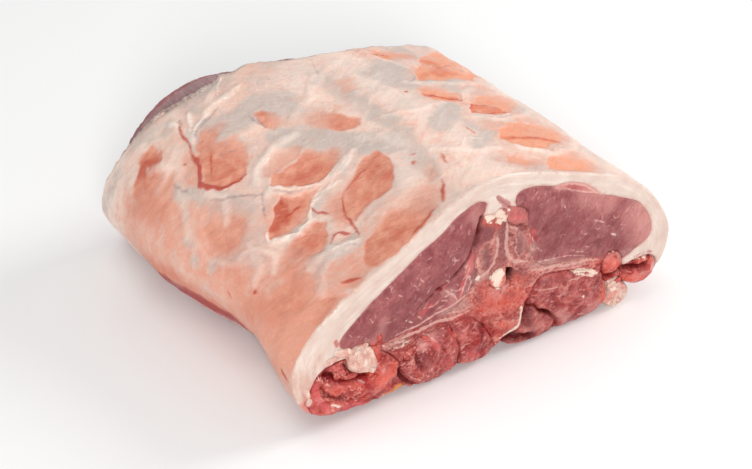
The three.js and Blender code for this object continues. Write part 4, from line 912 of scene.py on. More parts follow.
def cutFace(ring, hole, turns, look, side):
    # a cut face: its net, how far it stands proud, its distance from the edge, its creases and folds
    isRear = side == "rear"
    points, faces = filled(ring, spacing[side], hole)
    d = toLine(points, closed(ring))[0]
    turn = turns[nearestOf(points, ring)]
    if hole is not None:
        toHole = toLine(points, closed(hole))[0]
        turn = np.where(toHole < d, 0.12, turn)
        d = np.minimum(d, toHole)
    seed = look["seed"] + (40 if isRear else 0)
    k = np.clip(1 - d / (1.1 * turn), 0, 1)
    proud = -turn * (1 - np.sqrt(1 - k * k)) + look["bulge"] * (1 - np.exp(-((d / look["domed"]) ** 2)))
    grain = layers(points, 6.5, 2, seed) + 0.45 * noise(points, 1.7, seed + 9)
    proud += smooth(0, 2.2, d) * look["rough"] * grain
    folds = foldsAt(points, seed + 20)
    proud += smooth(0, 2.5, d) * look["folds"] * folds
    wander = np.zeros_like(points)
    if isRear:
        wander = 3.0 * np.stack([noise(points, 13, seed + 3), noise(points, 13, seed + 4)], 1)
    for x, z, radius, height in lumps:
        gap = np.linalg.norm(points + wander - (x, z), axis=1)
        proud += height * np.exp(-((gap / radius) ** 2)) * smooth(0, 1.8, d)
    shaken = points + wander + 0.35 * np.stack([noise(points, 3.5, 31), noise(points, 3.5, 32)], 1)
    crease = creased(shaken, 0.6 if isRear else 1.0)
    return {"flat": points, "faces": faces, "proud": proud - crease, "rim": d, "crease": crease,
            "wander": wander, "folds": folds}


def columnStops(x, z, start, end, kind):
    # where a column of the wall has its points, from front to rear
    if kind == free:
        count = max(3, int(round((end - start) / spacing["freeRun"])))
        return np.linspace(start, end, count + 1)[1:-1]
    if kind == skinSide:
        close = start + np.array([0.45, 0.95, 1.6, 2.4, 3.3])
        count = max(3, int(round((end - start - 4.2) / spacing["skinRun"])))
        return np.concatenate([close, np.linspace(start + 4.2, end, count + 1)[:-1]])
    stops = np.array(spacing["hidden"]) * lengthAt(z)
    past = fatEnd(x, z)
    if end > past + 1:
        count = max(2, int(round((end - past) / spacing["bareRun"])))
        stops = np.concatenate([stops, [past - 1.4], np.linspace(past + 0.3, end, count + 1)[:-1]])
    else:
        stops = np.append(stops, past - 2.2)
    return stops[(stops > start + 0.7) & (stops < end - 0.4)]


def ellipse(centre, radii, gap):
    count = int(round(math.pi * (radii[0] + radii[1]) / gap))
    t = np.linspace(0, 2 * np.pi, count, endpoint=False)
    return np.stack([centre[0] + radii[0] * np.cos(t), centre[1] + radii[1] * np.sin(t)], 1)


def onEdge(values, size):
    return np.pad(values, (0, size - len(values)))


def buildPiece(name, look, outline=None):
    isFat = name == "fat_cover"
    outline = outline or blunted(outlineOf(look["loop"].split()))
    turns, kinds, arcs = outline["turns"], outline["kinds"], outline["arcs"]
    ring, inward = drawnIn(outline["points"], np.where(kinds == skinSide, 0, spacing["clear"]))
    hole = ellipse(*form["canal"], spacing["edge"]) if look.get("hole") else None
    flareWay = np.array(form["flare"], float)
    facing = flareWay / np.linalg.norm(flareWay)
    flare = np.zeros(len(ring))
    if look.get("flare"):
        flare = smooth(0, 0.8, -inward @ facing) * smooth(-36, -48, ring[:, 0])
        flare *= 1 + 0.9 * hill(38, 9, ring[:, 1])

    front = cutFace(ring, hole, turns, look, "front")
    rear = cutFace(ring, hole, np.maximum(turns, look["rear"]), look, "rear")
    x, z = rear["flat"].T
    nearest = nearestOf(rear["flat"], ring)
    share = flare[nearest] * (1 - 0.4 * np.clip(rear["rim"] / 3.2, 0, 1) - 0.6 * smooth(3.2, 16, rear["rim"]))
    rearY = (fatEnd(x, z) if isFat else lengthAt(z)) + rear["proud"]
    if isFat:
        rearY += np.where(kinds == skinSide, raggedEnd(arcs), 0)[nearest] * smooth(6, 0.5, rear["rim"])
    rearPoints = carry(x + share * flareWay[0], z + share * flareWay[1], rearY)
    frontPoints = carry(*front["flat"].T, -front["proud"])

    # the wall, a column for each point of the outline and the hole
    border = len(ring) + (0 if hole is None else len(hole))
    columnKind, columnArc, columnFlare = (onEdge(part, border) for part in (kinds, arcs, flare))
    starts = -front["proud"][:border]
    stops = [columnStops(*front["flat"][i], starts[i], rearY[i], columnKind[i]) for i in range(border)]
    counts = [len(run) for run in stops]
    wallX, wallZ = np.repeat(front["flat"][:border], counts, axis=0).T
    wallY = np.concatenate(stops)
    wallKind = np.repeat(columnKind, counts)
    pastFat = wallY - fatEnd(wallX, wallZ)
    wallFlare = np.repeat(columnFlare, counts) * smooth(0.6, 5.5, pastFat)
    wallPoints = carry(wallX + wallFlare * flareWay[0], wallZ + wallFlare * flareWay[1], wallY)

    sizes = len(frontPoints), len(wallPoints), len(rearPoints)
    columns, progress, at = [], [], sizes[0]
    rearStart = sizes[0] + sizes[1]
    for i, run in enumerate(stops):
        columns.append([i, *range(at, at + len(run)), rearStart + i])
        progress.append(np.concatenate([[0], (run - starts[i]) / max(rearY[i] - starts[i], 1e-6), [1]]))
        at += len(run)
    wall = []
    for first, last, way in ((0, len(ring), 1), (len(ring), border, -1)):
        for i in range(first, last):
            j = i + 1 if i + 1 < last else first
            wall += [face[::way] for face in stitched(columns[i], progress[i], columns[j], progress[j])]

    def overAll(*parts):
        # a value for every point, from those of the front, the wall and the rear
        return np.concatenate([np.broadcast_to(part, size) for part, size in zip(parts, sizes)])

    onSkin = kinds == skinSide
    bare = np.where(wallKind == free, 1.0, (wallKind != skinSide) * smooth(0.5, 3, pastFat))
    return {
        "places": np.vstack([frontPoints, wallPoints, rearPoints]),
        "faces": np.vstack([front["faces"], rear["faces"][:, ::-1] + rearStart, np.array(wall)]),
        "flat": np.vstack([front["flat"], np.stack([wallX, wallZ], 1), rear["flat"]]),
        "wander": np.vstack([np.zeros((rearStart, 2)), rear["wander"]]),
        "run": overAll(-front["proud"], wallY, rearY),
        "arc": overAll(onEdge(arcs, sizes[0]), np.repeat(columnArc, counts), onEdge(arcs, sizes[2])),
        "onSkin": overAll(onEdge(onSkin, sizes[0]), wallKind == skinSide, onEdge(onSkin, sizes[2])),
        "bare": overAll(0, bare, 0),
        "filmed": overAll(0, (wallKind == underFat) * np.clip(1 - pastFat / 8, 0, 1), 0),
        # how high the folds stand, for the meat's painted highlight and shade
        "high": overAll(front["folds"], 0, rear["folds"]),
        "crease": overAll(front["crease"], 0, rear["crease"]),
        "rim": overAll(front["rim"], 0, rear["rim"]),
        "cut": overAll(1, 0, 1),
    }


def markFields(piece, built):
    # where each colour lies on the cut faces; the rear has the same muscles with weaker marks
    at = built["flat"] + 0.3 * np.stack([noise(built["flat"], 2.6, 21), noise(built["flat"], 2.6, 22)], 1)
    at = at + 1.6 * built["wander"]
    onFace = built["cut"] * np.where(built["run"] > 60, 0.7, 1.0)
    for key, marks in faceMarks.items():
        value = (strokes if key in ("cream", "pale", "nerve") else glows)(at, marks) * onFace
        # the creases are painted dark as well: painted shade as deep as they sink
        if key == "shade_and_clots":
            value = np.maximum(value, np.clip(built["crease"] / 4.0, 0, 0.75) * onFace)
        setField(piece, key, value)
    for key in ("cut", "rim", "high", "filmed"):
        setField(piece, key, built[key])


def markedPiece(name, places, built):
    # nothing of it goes below the ground
    places[:, 2] = np.maximum(places[:, 2], 0)
    piece = makeObject(name, places, built["faces"])
    markFields(piece, built)
    return piece


def dressedPiece(name, look):
    built = buildPiece(name, look)
    places = built["places"]
    seed = look["seed"]
    lift = built["bare"] * (0.5 * layers(places, 9, 3, seed + 60) - 0.15)
    lift += built["bare"] * 0.35 * noise(places * (1, 0.16, 1), 3.2, seed + 61)
    lift *= smooth(0, 3, built["run"])
    places += normalsOf(places, built["faces"]) * lift[:, None]
    piece = markedPiece(name + "_flesh", places, built)
    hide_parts(name)
    return piece


def fellFields(s, y):
    # what lies where on the outer fell
    at = np.stack([s, y], 1)
    at = at + 1.5 * np.stack([noise(at, 9, 71), noise(at, 9, 72)], 1) + 0.7 * np.stack(
        [noise(at, 3.2, 73), noise(at, 3.2, 74)], 1)
    salmon, tone, rims = np.zeros(len(s)), np.zeros(len(s)), np.zeros(len(s))
    for strength, softness, way, ring in fellPatches:
        near = nearTo(at, ring, 9)
        if len(near):
            way = np.array(way, float)
            fading = smooth(-0.4, 1.0, (at[near] - np.mean(ring, 0)) @ way / (way @ way + 1e-6))
            gap = toLine(at[near], closed(ring))[0]
            gap = np.where(inside(at[near], ring), -gap, gap)
            soft = softness * (1 + 2.2 * fading)
            salmon[near] = np.maximum(salmon[near], np.clip(0.5 - gap / (2.8 * soft), 0, 1))
            shade = strength * (1 - 0.45 * fading) * smooth(1.2 * soft + 1.5, -soft, gap)
            tone[near] = np.maximum(tone[near], shade)
            # a bright rim along crisp edges, partly the torn membrane and partly painted highlight
            crisp = np.clip(1.7 - soft, 0, 1) * smooth(-0.2, 0.4, noise(at[near], 9, 75))
            rims[near] = np.maximum(rims[near], crisp * hill(0.7, 0.8, gap))
    fields = {"salmon": salmon, "tone": tone, "rims": rims}
    for key, marks in fellLines.items():
        fields[key] = strokes(at, marks, 2.0) if key in ("vein", "lit_ridge", "groove") else glows(at, marks)
    return fields


def dressedFat(look):
    built = buildPiece("fat_cover", look)
    places, flat, run = built["places"], built["flat"], built["run"]
    chosen = np.where(built["onSkin"])[0]
    s, y = built["arc"][chosen], run[chosen]
    fields = fellFields(s, y)
    at = np.stack([s, y], 1)
    relief = 0.75 * noise(at, 34, 81) + 0.5 * noise(at, 17, 82) + 0.22 * noise(at, 7, 83)
    relief += 0.1 * noise(at, 3, 84)
    broken = smooth(-0.35, 0.25, noise(at, 7, 87))
    relief += broken * (0.55 * smooth(0.3, 0.85, fields["lit_ridge"]) - 0.4 * smooth(0.25, 0.8, fields["groove"]))
    relief += 0.3 * fields["rims"] - 0.4 * smooth(0.3, 0.7, fields["salmon"])
    relief += 0.3 * smooth(0.3, 0.8, fields["vein"])
    relief += 0.6 * fields["lit_fold"]
    folds = np.abs(noise(at * (0.35, 1.0), 6, 85))
    relief += 0.3 * (0.35 - np.minimum(folds, 0.35)) / 0.35 * smooth(-0.1, 0.5, noise(at, 26, 86))
    toEnd = fatEnd(*flat[chosen].T) - y
    relief *= smooth(0, 5, y) * smooth(0, 4, toEnd) * 0.85 + 0.15
    # the fat thins out over the shoulder
    relief -= 1.8 * (1 - np.clip(toEnd / 8, 0, 1)) ** 2 * hill(66, 26, s)
    places[chosen] += normalsOf(places, built["faces"])[chosen] * relief[:, None]
    piece = markedPiece("fat_cover_fell", places, built)
    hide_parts("fat_cover")
    for key, values in fields.items():
        every = np.zeros(len(places))
        every[chosen] = values
        setField(piece, "fell_" + key, every)
    deep, share = toLine(flat, spaced(curve(edges["skin"]), 1.0))
    # how far out on the skin from a cut edge; below zero on the cut faces and inside
    outside = -deep - 1.0
    outside[built["cut"] > 0.5] += 1.0
    onlySkin = built["onSkin"] & (built["cut"] < 0.5)
    outside[onlySkin] = np.minimum(run, fatEnd(*flat.T) + 2 - run)[onlySkin]
    along = share * form["skinLength"]
    for key, values in (("outside", outside), ("deep", deep), ("along", along), ("run", run)):
        setField(piece, key, values)
    return piece


# loose bits on the cut face: x, z, half sizes across, up and outwards in mm, turn and tilt in degrees
bits = {
    "fat_tags": {
        "slot": "soft_fat", "seed": 201, "uneven": 0.28,
        "face": [
            (-74.4, 32.6, 5, 2, 1.2, -6, 10), (-80, 30.6, 3.6, 1.5, 0.8, 14, 6),
            (-67.4, 27, 3.6, 4.6, 1.6, 24, 0), (-62.2, 25.4, 2.6, 5.6, 1.6, 16, 6),
            (-65.6, 31.6, 3.2, 1.5, 1, 12, 0), (-61, 20.2, 2.2, 2.4, 1.3, -20, 0),
            (58.6, 11.2, 2.2, 3, 1.2, 16, 6), (63.4, 5.6, 3, 2.2, 1.2, -24, 0),
            (60.4, 2.4, 2, 1.6, 1, 10, 0), (72.4, 22.4, 3.4, 0.9, 0.7, 4, -6),
            (-90.2, 20.2, 1.2, 3, 0.8, 18, 10), (-89.4, 15.4, 1.5, 1.8, 0.8, -24, 0),
        ]},
    "meat_tags": {
        "slot": "flank", "seed": 301, "uneven": 0.3,
        "face": [
            (-76, 24.2, 2.6, 2.6, 1.6, 20, 10), (-71.4, 20.6, 4.6, 1.2, 1.3, -16, -6),
            (-80.6, 19.2, 3.4, 1.6, 0.9, -34, 10), (-66, 13.6, 4.4, 2, 0.9, -12, 8),
            (-58.6, 13.4, 3.6, 2.6, 0.9, 10, 0), (-84.6, 16.4, 1.6, 4, 0.9, 10, 0),
            (-57.6, 32.6, 1.5, 5, 0.7, 4, 0), (-43.4, 19.4, 2.4, 4, 1.2, -24, 8),
            (-35.6, 22.4, 1.6, 3.6, 0.9, 38, 10), (-29.6, 12, 3.6, 3, 0.8, 0, 0),
            (-24, 18, 3, 3.4, 0.6, -20, 0), (-12.4, 10.6, 3.2, 3.6, 0.7, -15, 0),
            (57.4, 25.6, 2.6, 2, 0.7, 10, 6), (73.6, 12.8, 4, 1.6, 0.8, 12, 0),
            (60.4, 13.2, 2.6, 1.4, 0.9, 20, 0),
        ]},
}


def bit(centre, axes, sizes, turn, tilt, uneven, seed):
    # one ragged bit: a squarish ball made uneven, drawn out, turned in its plane and tilted out of it
    ball = bmesh.new()
    bmesh.ops.create_icosphere(ball, subdivisions=3, radius=1)
    points = np.array([v.co for v in ball.verts])
    faces = np.array([[v.index for v in f.verts] for f in ball.faces])
    ball.free()
    uneven = uneven * min(1, min(sizes[:2]) / 3)
    swell = 1 + uneven * noise(points * 1.1, 1, seed) + 0.7 * uneven * noise(points * 2.7, 1, seed + 1)
    points = np.sign(points) * np.abs(points) ** 0.8
    points = points * swell[:, None] * sizes
    a, b = math.radians(turn), math.radians(tilt)
    tilted = np.stack([points[:, 0] * math.cos(b) - points[:, 2] * math.sin(b), points[:, 1],
                       points[:, 0] * math.sin(b) + points[:, 2] * math.cos(b)], 1)
    u = tilted[:, 0] * math.cos(a) - tilted[:, 1] * math.sin(a)
    v = tilted[:, 0] * math.sin(a) + tilted[:, 1] * math.cos(a)
    return centre + u[:, None] * axes[0] + v[:, None] * axes[1] + tilted[:, 2:] * axes[2], faces, swell


def bitsOf(name, look):
    points, faces, swells, start = [], [], [], 0
    axes = np.array([(1, 0, 0), (0, 0, 1), (0, -1, 0)], float)  # across, up and out of the cut face
    for k, (x, z, across, up, out, turn, tilt) in enumerate(look["face"]):
        centre = carry(*(np.array([value]) for value in (x, z, 0.1)))[0]
        seed = look["seed"] + 2 * k
        at, around, swell = bit(centre, axes, (across, up, out), turn, tilt, look["uneven"], seed)
        points.append(at)
        faces.append(around + start)
        swells.append(swell)
        start += len(at)
    places = np.vstack(points)
    places[:, 2] = np.maximum(places[:, 2], 0)
    piece = makeObject(name, places, np.vstack(faces))
    # how far each point swells, for the meat's painted highlight and shade
    setField(piece, "high", np.clip((np.concatenate(swells) - 1) * 2, -1, 1))
    setField(piece, "cut", np.ones(start))
    setField(piece, "rim", np.full(start, 5.0))
    return piece


cordLook = {"slot": "cord", "bulge": 0.3, "domed": 2.4, "rough": 0.5, "rear": 1.2, "folds": 0.35, "seed": 17}


def dressedCord(look):
    # it lies against the canal's wall and leaves a hollow only on the right
    ring = ellipse(*form["canal"], 0.5)
    ring[:, 0] = np.where(ring[:, 0] > 2.0, 2.0 + 0.12 * (ring[:, 0] - 2.0), ring[:, 0])
    ring[:, 0] -= 0.5 * hill(40, 1.6, ring[:, 1]) * (ring[:, 0] > 1.9)
    centre = ring.mean(0)
    ring = spaced(centre + (ring - centre) * 0.955, 0.5)
    count = len(ring)
    built = buildPiece("spinal_cord", look, {"points": ring, "turns": np.full(count, 0.35),
                                             "kinds": np.zeros(count, int), "arcs": np.zeros(count)})
    piece = markedPiece("spinal_cord_marrow", built["places"], built)
    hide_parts("spinal_cord")
    return piece


dressed = {"fat_cover": dressedFat(pieces["fat_cover"])}
for name, look in pieces.items():
    if name != "fat_cover":
        dressed[name] = dressedPiece(name, look)
dressed["spinal_cord"] = dressedCord(cordLook)
extras = {name: bitsOf(name, look) for name, look in bits.items()}
count = sum(len(piece.data.polygons) for piece in [*dressed.values(), *extras.values()])
print("pieces made:", len(dressed) + len(extras), "with", count, "triangles")


# colours are written as they look on a screen, 0 to 255
def light(colour):
    c = np.array(colour) / 255
    c = np.where(c <= 0.04045, c / 12.92, ((c + 0.055) / 1.055) ** 2.4)
    return (*c.tolist(), 1.0)


# laying out shader nodes; most of them go to the tree that the sockets they are given belong to
def treeOf(*values):
    return next(value.id_data for value in values if isinstance(value, bpy.types.NodeSocket))


def addNode(tree, kind, sockets=None, **settings):
    node = tree.nodes.new("ShaderNode" + kind)
    for key, value in settings.items():
        setattr(node, key, value)
    for key, value in (sockets or {}).items():
        plug(tree, node.inputs[key], value)
    return node


def plug(tree, socket, value):
    if isinstance(value, bpy.types.NodeSocket):
        tree.links.new(value, socket)
    else:
        socket.default_value = value


def calc(operation, a, b=0.0, clamp=False):
    return addNode(treeOf(a, b), "Math", {0: a, 1: b}, operation=operation, use_clamp=clamp).outputs[0]


def times(a, b, clamp=False):
    return calc("MULTIPLY", a, b, clamp)


def plus(a, b):
    return calc("ADD", a, b)


def minus(a, b):
    return calc("SUBTRACT", a, b)


def span(value, low, high, toLow=0.0, toHigh=1.0):
    # a value carried smoothly from one range to another
    sockets = {"Value": value, "From Min": low, "From Max": high, "To Min": toLow, "To Max": toHigh}
    return addNode(treeOf(value, low, high), "MapRange", sockets, interpolation_type="SMOOTHSTEP").outputs[0]


def blend(share, a, b):
    node = addNode(treeOf(share, a, b), "Mix", {0: share}, data_type="RGBA")
    for socket, colour in ((node.inputs[6], a), (node.inputs[7], b)):
        plug(node.id_data, socket, colour if isinstance(colour, bpy.types.NodeSocket) else light(colour))
    return node.outputs[2]


def shade(colour, value, *bands, mask=None):
    # tints a colour where a value lies in a band: low, high, the most it tints, and the tint
    for low, high, most, tint in bands:
        share = span(value, low, high, 0.0, most)
        if mask is not None:
            share = times(share, mask)
        colour = blend(share, colour, tint)
    return colour


def mixed(share, a, b):
    return addNode(treeOf(share, a, b), "Mix", {0: share, 2: a, 3: b}, data_type="FLOAT").outputs[0]


def stretched(vector, by):
    return addNode(treeOf(vector), "VectorMath", {0: vector, 1: by}, operation="MULTIPLY").outputs[0]


def shifted(vector, by):
    return addNode(treeOf(vector), "VectorMath", {0: vector, 1: by}, operation="ADD").outputs[0]


def swing(value, reach):
    # a noise as a swing either side of nothing
    return times(minus(value, 0.5), reach)


def scaled(vector, by):
    return addNode(treeOf(vector), "VectorMath", {0: vector, "Scale": by}, operation="SCALE").outputs[0]


def rotated(vector, angle, axis):
    return addNode(treeOf(vector), "VectorRotate", {"Vector": vector, "Angle": angle},
                   rotation_type=axis).outputs[0]


def noiseNode(vector, size, detail=2.0, rough=0.5):
    scale = calc("DIVIDE", 1.0, size) if isinstance(size, bpy.types.NodeSocket) else 1 / size
    node = addNode(treeOf(vector), "TexNoise",
                   {"Vector": vector, "Scale": scale, "Detail": detail, "Roughness": rough})
    return node.outputs["Fac"]


def fieldOf(tree, name):
    return addNode(tree, "Attribute", attribute_name=name).outputs["Fac"]


def placeOf(tree):
    # the place on the object, in mm
    return scaled(addNode(tree, "TexCoord").outputs["Object"], 1000)


def newGroup(name, takes, gives):
    group = bpy.data.node_groups.new(name, "ShaderNodeTree")
    for socket, kind, default in takes:
        made = group.interface.new_socket(socket, in_out="INPUT", socket_type="NodeSocket" + kind)
        if default is not None:
            made.default_value = default
    for socket in gives:
        group.interface.new_socket(socket, in_out="OUTPUT", socket_type="NodeSocketFloat")
    inner, outer = group.nodes.new("NodeGroupInput"), group.nodes.new("NodeGroupOutput")
    return group, inner.outputs, outer.inputs


def useGroup(group, **sockets):
    tree = treeOf(*sockets.values())
    node = tree.nodes.new("ShaderNodeGroup")
    node.node_tree = group
    for key, value in sockets.items():
        plug(tree, node.inputs[key], value)
    return node.outputs


# long streaks in the plane of the cut, bundles of fibres end on, and fine grain
def makeFibre():
    group, take, give = newGroup(
        "muscle fibre",
        [("Vector", "Vector", None), ("Angle", "Float", 0.5), ("Width", "Float", 1.4),
         ("Bundle", "Float", 2.0)],
        ["Streaks", "Bundles", "Grain"])
    turned = rotated(take["Vector"], take["Angle"], "Y_AXIS")
    bend = addNode(group, "TexNoise", {"Vector": turned, "Scale": 0.05, "Detail": 1.0}).outputs["Color"]
    bent = shifted(turned, scaled(bend, 22.0))
    drawn = stretched(bent, (0.38, 0.6, 1.0))
    group.links.new(noiseNode(drawn, take["Width"], 3.0, 0.6), give["Streaks"])
    scale = calc("DIVIDE", 1.0, take["Bundle"])
    squeezed = stretched(bent, (0.62, 0.5, 1.0))
    cells = addNode(group, "TexVoronoi", {"Vector": squeezed, "Scale": scale}, feature="DISTANCE_TO_EDGE")
    group.links.new(span(cells.outputs[0], 0.0, 0.16, 1.0, 0.0), give["Bundles"])
    group.links.new(noiseNode(take["Vector"], 0.55, 2.0, 0.6), give["Grain"])
    return group


# soft patches of another tone
def makeMottle():
    group, take, give = newGroup(
        "mottle", [("Vector", "Vector", None), ("Size", "Float", 10.0), ("Spread", "Float", 0.2)], ["Mask"])
    value = noiseNode(take["Vector"], take["Size"], 3.0, 0.55)
    low = minus(0.5, take["Spread"])
    high = plus(0.5, take["Spread"])
    group.links.new(span(value, low, high), give["Mask"])
    return group


# a drawn mark with a ragged edge
def makeRagged():
    group, take, give = newGroup(
        "ragged edge", [("Mark", "Float", 0.0), ("Vector", "Vector", None), ("Size", "Float", 1.1),
                        ("Raggedness", "Float", 0.5), ("Crispness", "Float", 0.14)], ["Mask"])
    grain = minus(noiseNode(take["Vector"], take["Size"], 3.0, 0.6), 0.5)
    value = plus(take["Mark"], times(grain, take["Raggedness"]))
    low = minus(0.5, take["Crispness"])
    high = plus(0.5, take["Crispness"])
    group.links.new(span(value, low, high), give["Mask"])
    return group


# small flecks of fat, longer one way
def makeFlecks():
    group, take, give = newGroup(
        "fat flecks", [("Vector", "Vector", None), ("Angle", "Float", 0.5), ("Size", "Float", 1.5),
                       ("Amount", "Float", 0.1)], ["Mask"])
    turned = rotated(take["Vector"], take["Angle"], "Y_AXIS")
    drawn = stretched(turned, (0.4, 0.6, 1.0))
    fine = noiseNode(drawn, take["Size"], 2.0, 0.5)
    where = noiseNode(take["Vector"], 11.0, 1.0, 0.5)
    value = plus(fine, swing(where, 0.6))
    low = minus(0.78, take["Amount"])
    high = plus(low, 0.07)
    group.links.new(span(value, low, high), give["Mask"])
    return group


# thin broken lines that wander
def makeThinLines():
    group, take, give = newGroup(
        "thin lines", [("Vector", "Vector", None), ("Size", "Float", 6.0), ("Width", "Float", 0.025),
                       ("Amount", "Float", 0.1)], ["Mask"])
    off = calc("ABSOLUTE", minus(noiseNode(take["Vector"], take["Size"], 2.0, 0.5), 0.5))
    line = span(off, take["Width"], 0.0)
    elsewhere = shifted(take["Vector"], (31.0, 17.0, 53.0))
    low = minus(0.62, take["Amount"])
    keep = span(noiseNode(elsewhere, take["Size"], 2.0, 0.5), low, plus(low, 0.08))
    group.links.new(times(line, keep), give["Mask"])
    return group


# a wet film that lies unevenly
def makeFilm():
    group, take, give = newGroup(
        "wet film", [("Vector", "Vector", None), ("Size", "Float", 6.0), ("Dry", "Float", 0.5),
                     ("Wet", "Float", 0.25),
                     ("Shine", "Float", 0.5)], ["Roughness", "Coat"])
    value = span(noiseNode(take["Vector"], take["Size"], 4.0, 0.65), 0.44, 0.62)
    gap = minus(take["Wet"], take["Dry"])
    group.links.new(plus(take["Dry"], times(value, gap)), give["Roughness"])
    group.links.new(times(value, take["Shine"]), give["Coat"])
    return group


fibre, mottle, ragged, flecks, film = makeFibre(), makeMottle(), makeRagged(), makeFlecks(), makeFilm()
thinLines = makeThinLines()


def patchy(at, size, spread):
    return useGroup(mottle, Vector=at, Size=size, Spread=spread)["Mask"]


def torn(mark, at, size, raggedness, crispness):
    # a drawn mark with its edge torn
    sockets = {"Mark": mark, "Vector": at, "Size": size, "Raggedness": raggedness, "Crispness": crispness}
    return useGroup(ragged, **sockets)["Mask"]


def partOf(vector, k):
    return addNode(treeOf(vector), "SeparateXYZ", {0: vector}).outputs[k]


def newMaterial(name, finish):
    material = bpy.data.materials.new(name)
    material.use_nodes = True
    shader = material.node_tree.nodes["Principled BSDF"]
    shader.inputs["Specular IOR Level"].default_value = finish["specular"]
    shader.inputs["Subsurface Weight"].default_value = finish["subsurface"]
    shader.inputs["Subsurface Radius"].default_value = finish["radius"]
    shader.inputs["Subsurface Scale"].default_value = 0.001
    shader.inputs["Coat Roughness"].default_value = finish["coatRoughness"]
    return material, material.node_tree, shader


def finishSurface(tree, shader, colour, wet, height, depth):
    tree.links.new(colour, shader.inputs["Base Color"])
    tree.links.new(wet["Roughness"], shader.inputs["Roughness"])
    tree.links.new(wet["Coat"], shader.inputs["Coat Weight"])
    bump = addNode(tree, "Bump", {"Height": height, "Strength": 1.0, "Distance": depth * mm})
    tree.links.new(bump.outputs[0], shader.inputs["Normal"])


# colours of the marks drawn on every piece
markColours = {
    "pale": (222, 170, 160), "cream": (240, 214, 196), "coral": (216, 92, 74), "blood": (150, 12, 18),
    # the darkest of these is painted shade in seams, pits, gaps and creases, with a few clots
    "shade_and_clots": (92, 6, 12), "haze": (188, 146, 138), "rose": (206, 92, 92), "nerve": (176, 88, 86),
    "blush": (214, 148, 140), "dusk": (122, 56, 60), "amber": (222, 148, 84),
}
# edge, rim: the colour at a cut face's outline and its share; on the fillets and flank it is painted shade
meats = {
    "loin": {"edge": (196, 130, 124), "rim": 0.3, "mid": (152, 82, 83), "deep": (128, 60, 64),
        "pale": (180, 108, 106), "bundle": (136, 66, 70), "fleck": (224, 172, 164), "side": (178, 150, 152),
        "angle": 0.95, "amount": 0.075, "tone": 0.55, "wet": 0.3, "dry": 0.46, "shine": 0.25},
    "strip": {"edge": (206, 140, 132), "rim": 0.3, "mid": (186, 96, 93), "deep": (160, 78, 80),
        "pale": (212, 142, 132), "bundle": (172, 90, 88), "fleck": (232, 186, 174), "side": (150, 86, 88),
        "angle": 0.5, "amount": 0.04, "tone": 0.4, "wet": 0.28, "dry": 0.44, "shine": 0.3},
    "fillet": {"edge": (140, 38, 40), "rim": 0.4, "mid": (172, 72, 69), "deep": (126, 28, 33),
        "pale": (210, 120, 110), "bundle": (146, 50, 52), "fleck": (230, 166, 152), "side": (146, 46, 46),
        "angle": 0.45, "amount": 0.13, "tone": 0.95, "wet": 0.2, "dry": 0.42, "shine": 0.7},
    "flank": {"edge": (124, 16, 22), "rim": 0.7, "mid": (190, 68, 62), "deep": (130, 18, 22),
        "pale": (230, 124, 108), "bundle": (152, 38, 40), "fleck": (240, 178, 164), "side": (160, 52, 48),
        "angle": -0.6, "amount": 0.12, "tone": 0.9, "wet": 0.16, "dry": 0.36, "shine": 0.9},
}
allMarks = ("blush", "haze", "dusk", "rose", "coral", "amber", "blood", "pale", "cream", "shade_and_clots")
filmColours = {"thin": (206, 168, 156), "thick": (222, 198, 186)}
meatFinish = {"specular": 0.2, "subsurface": 0.18, "radius": (2.2, 0.7, 0.5), "coatRoughness": 0.12}
fatFinish = {"specular": 0.4, "subsurface": 0.35, "radius": (3.0, 1.8, 1.2), "coatRoughness": 0.2}


def overMarks(colour, place, order, share=1.0):
    # the drawn marks over a piece's own colour
    for key in order:
        mark = fieldOf(treeOf(place), key)
        if key == "cream":
            mask = torn(mark, place, 2.4, 1.5, 0.2)
        elif key in ("pale", "nerve"):
            mask = torn(mark, place, 1.5, 0.8, 0.2)
        else:
            uneven = plus(0.45, noiseNode(place, 2.2, 3.0, 0.6))
            mask = times(mark, uneven, True)
        strength = 0.75 if key == "pale" else 0.92
        colour = blend(times(mask, strength * share), colour, markColours[key])
    return colour


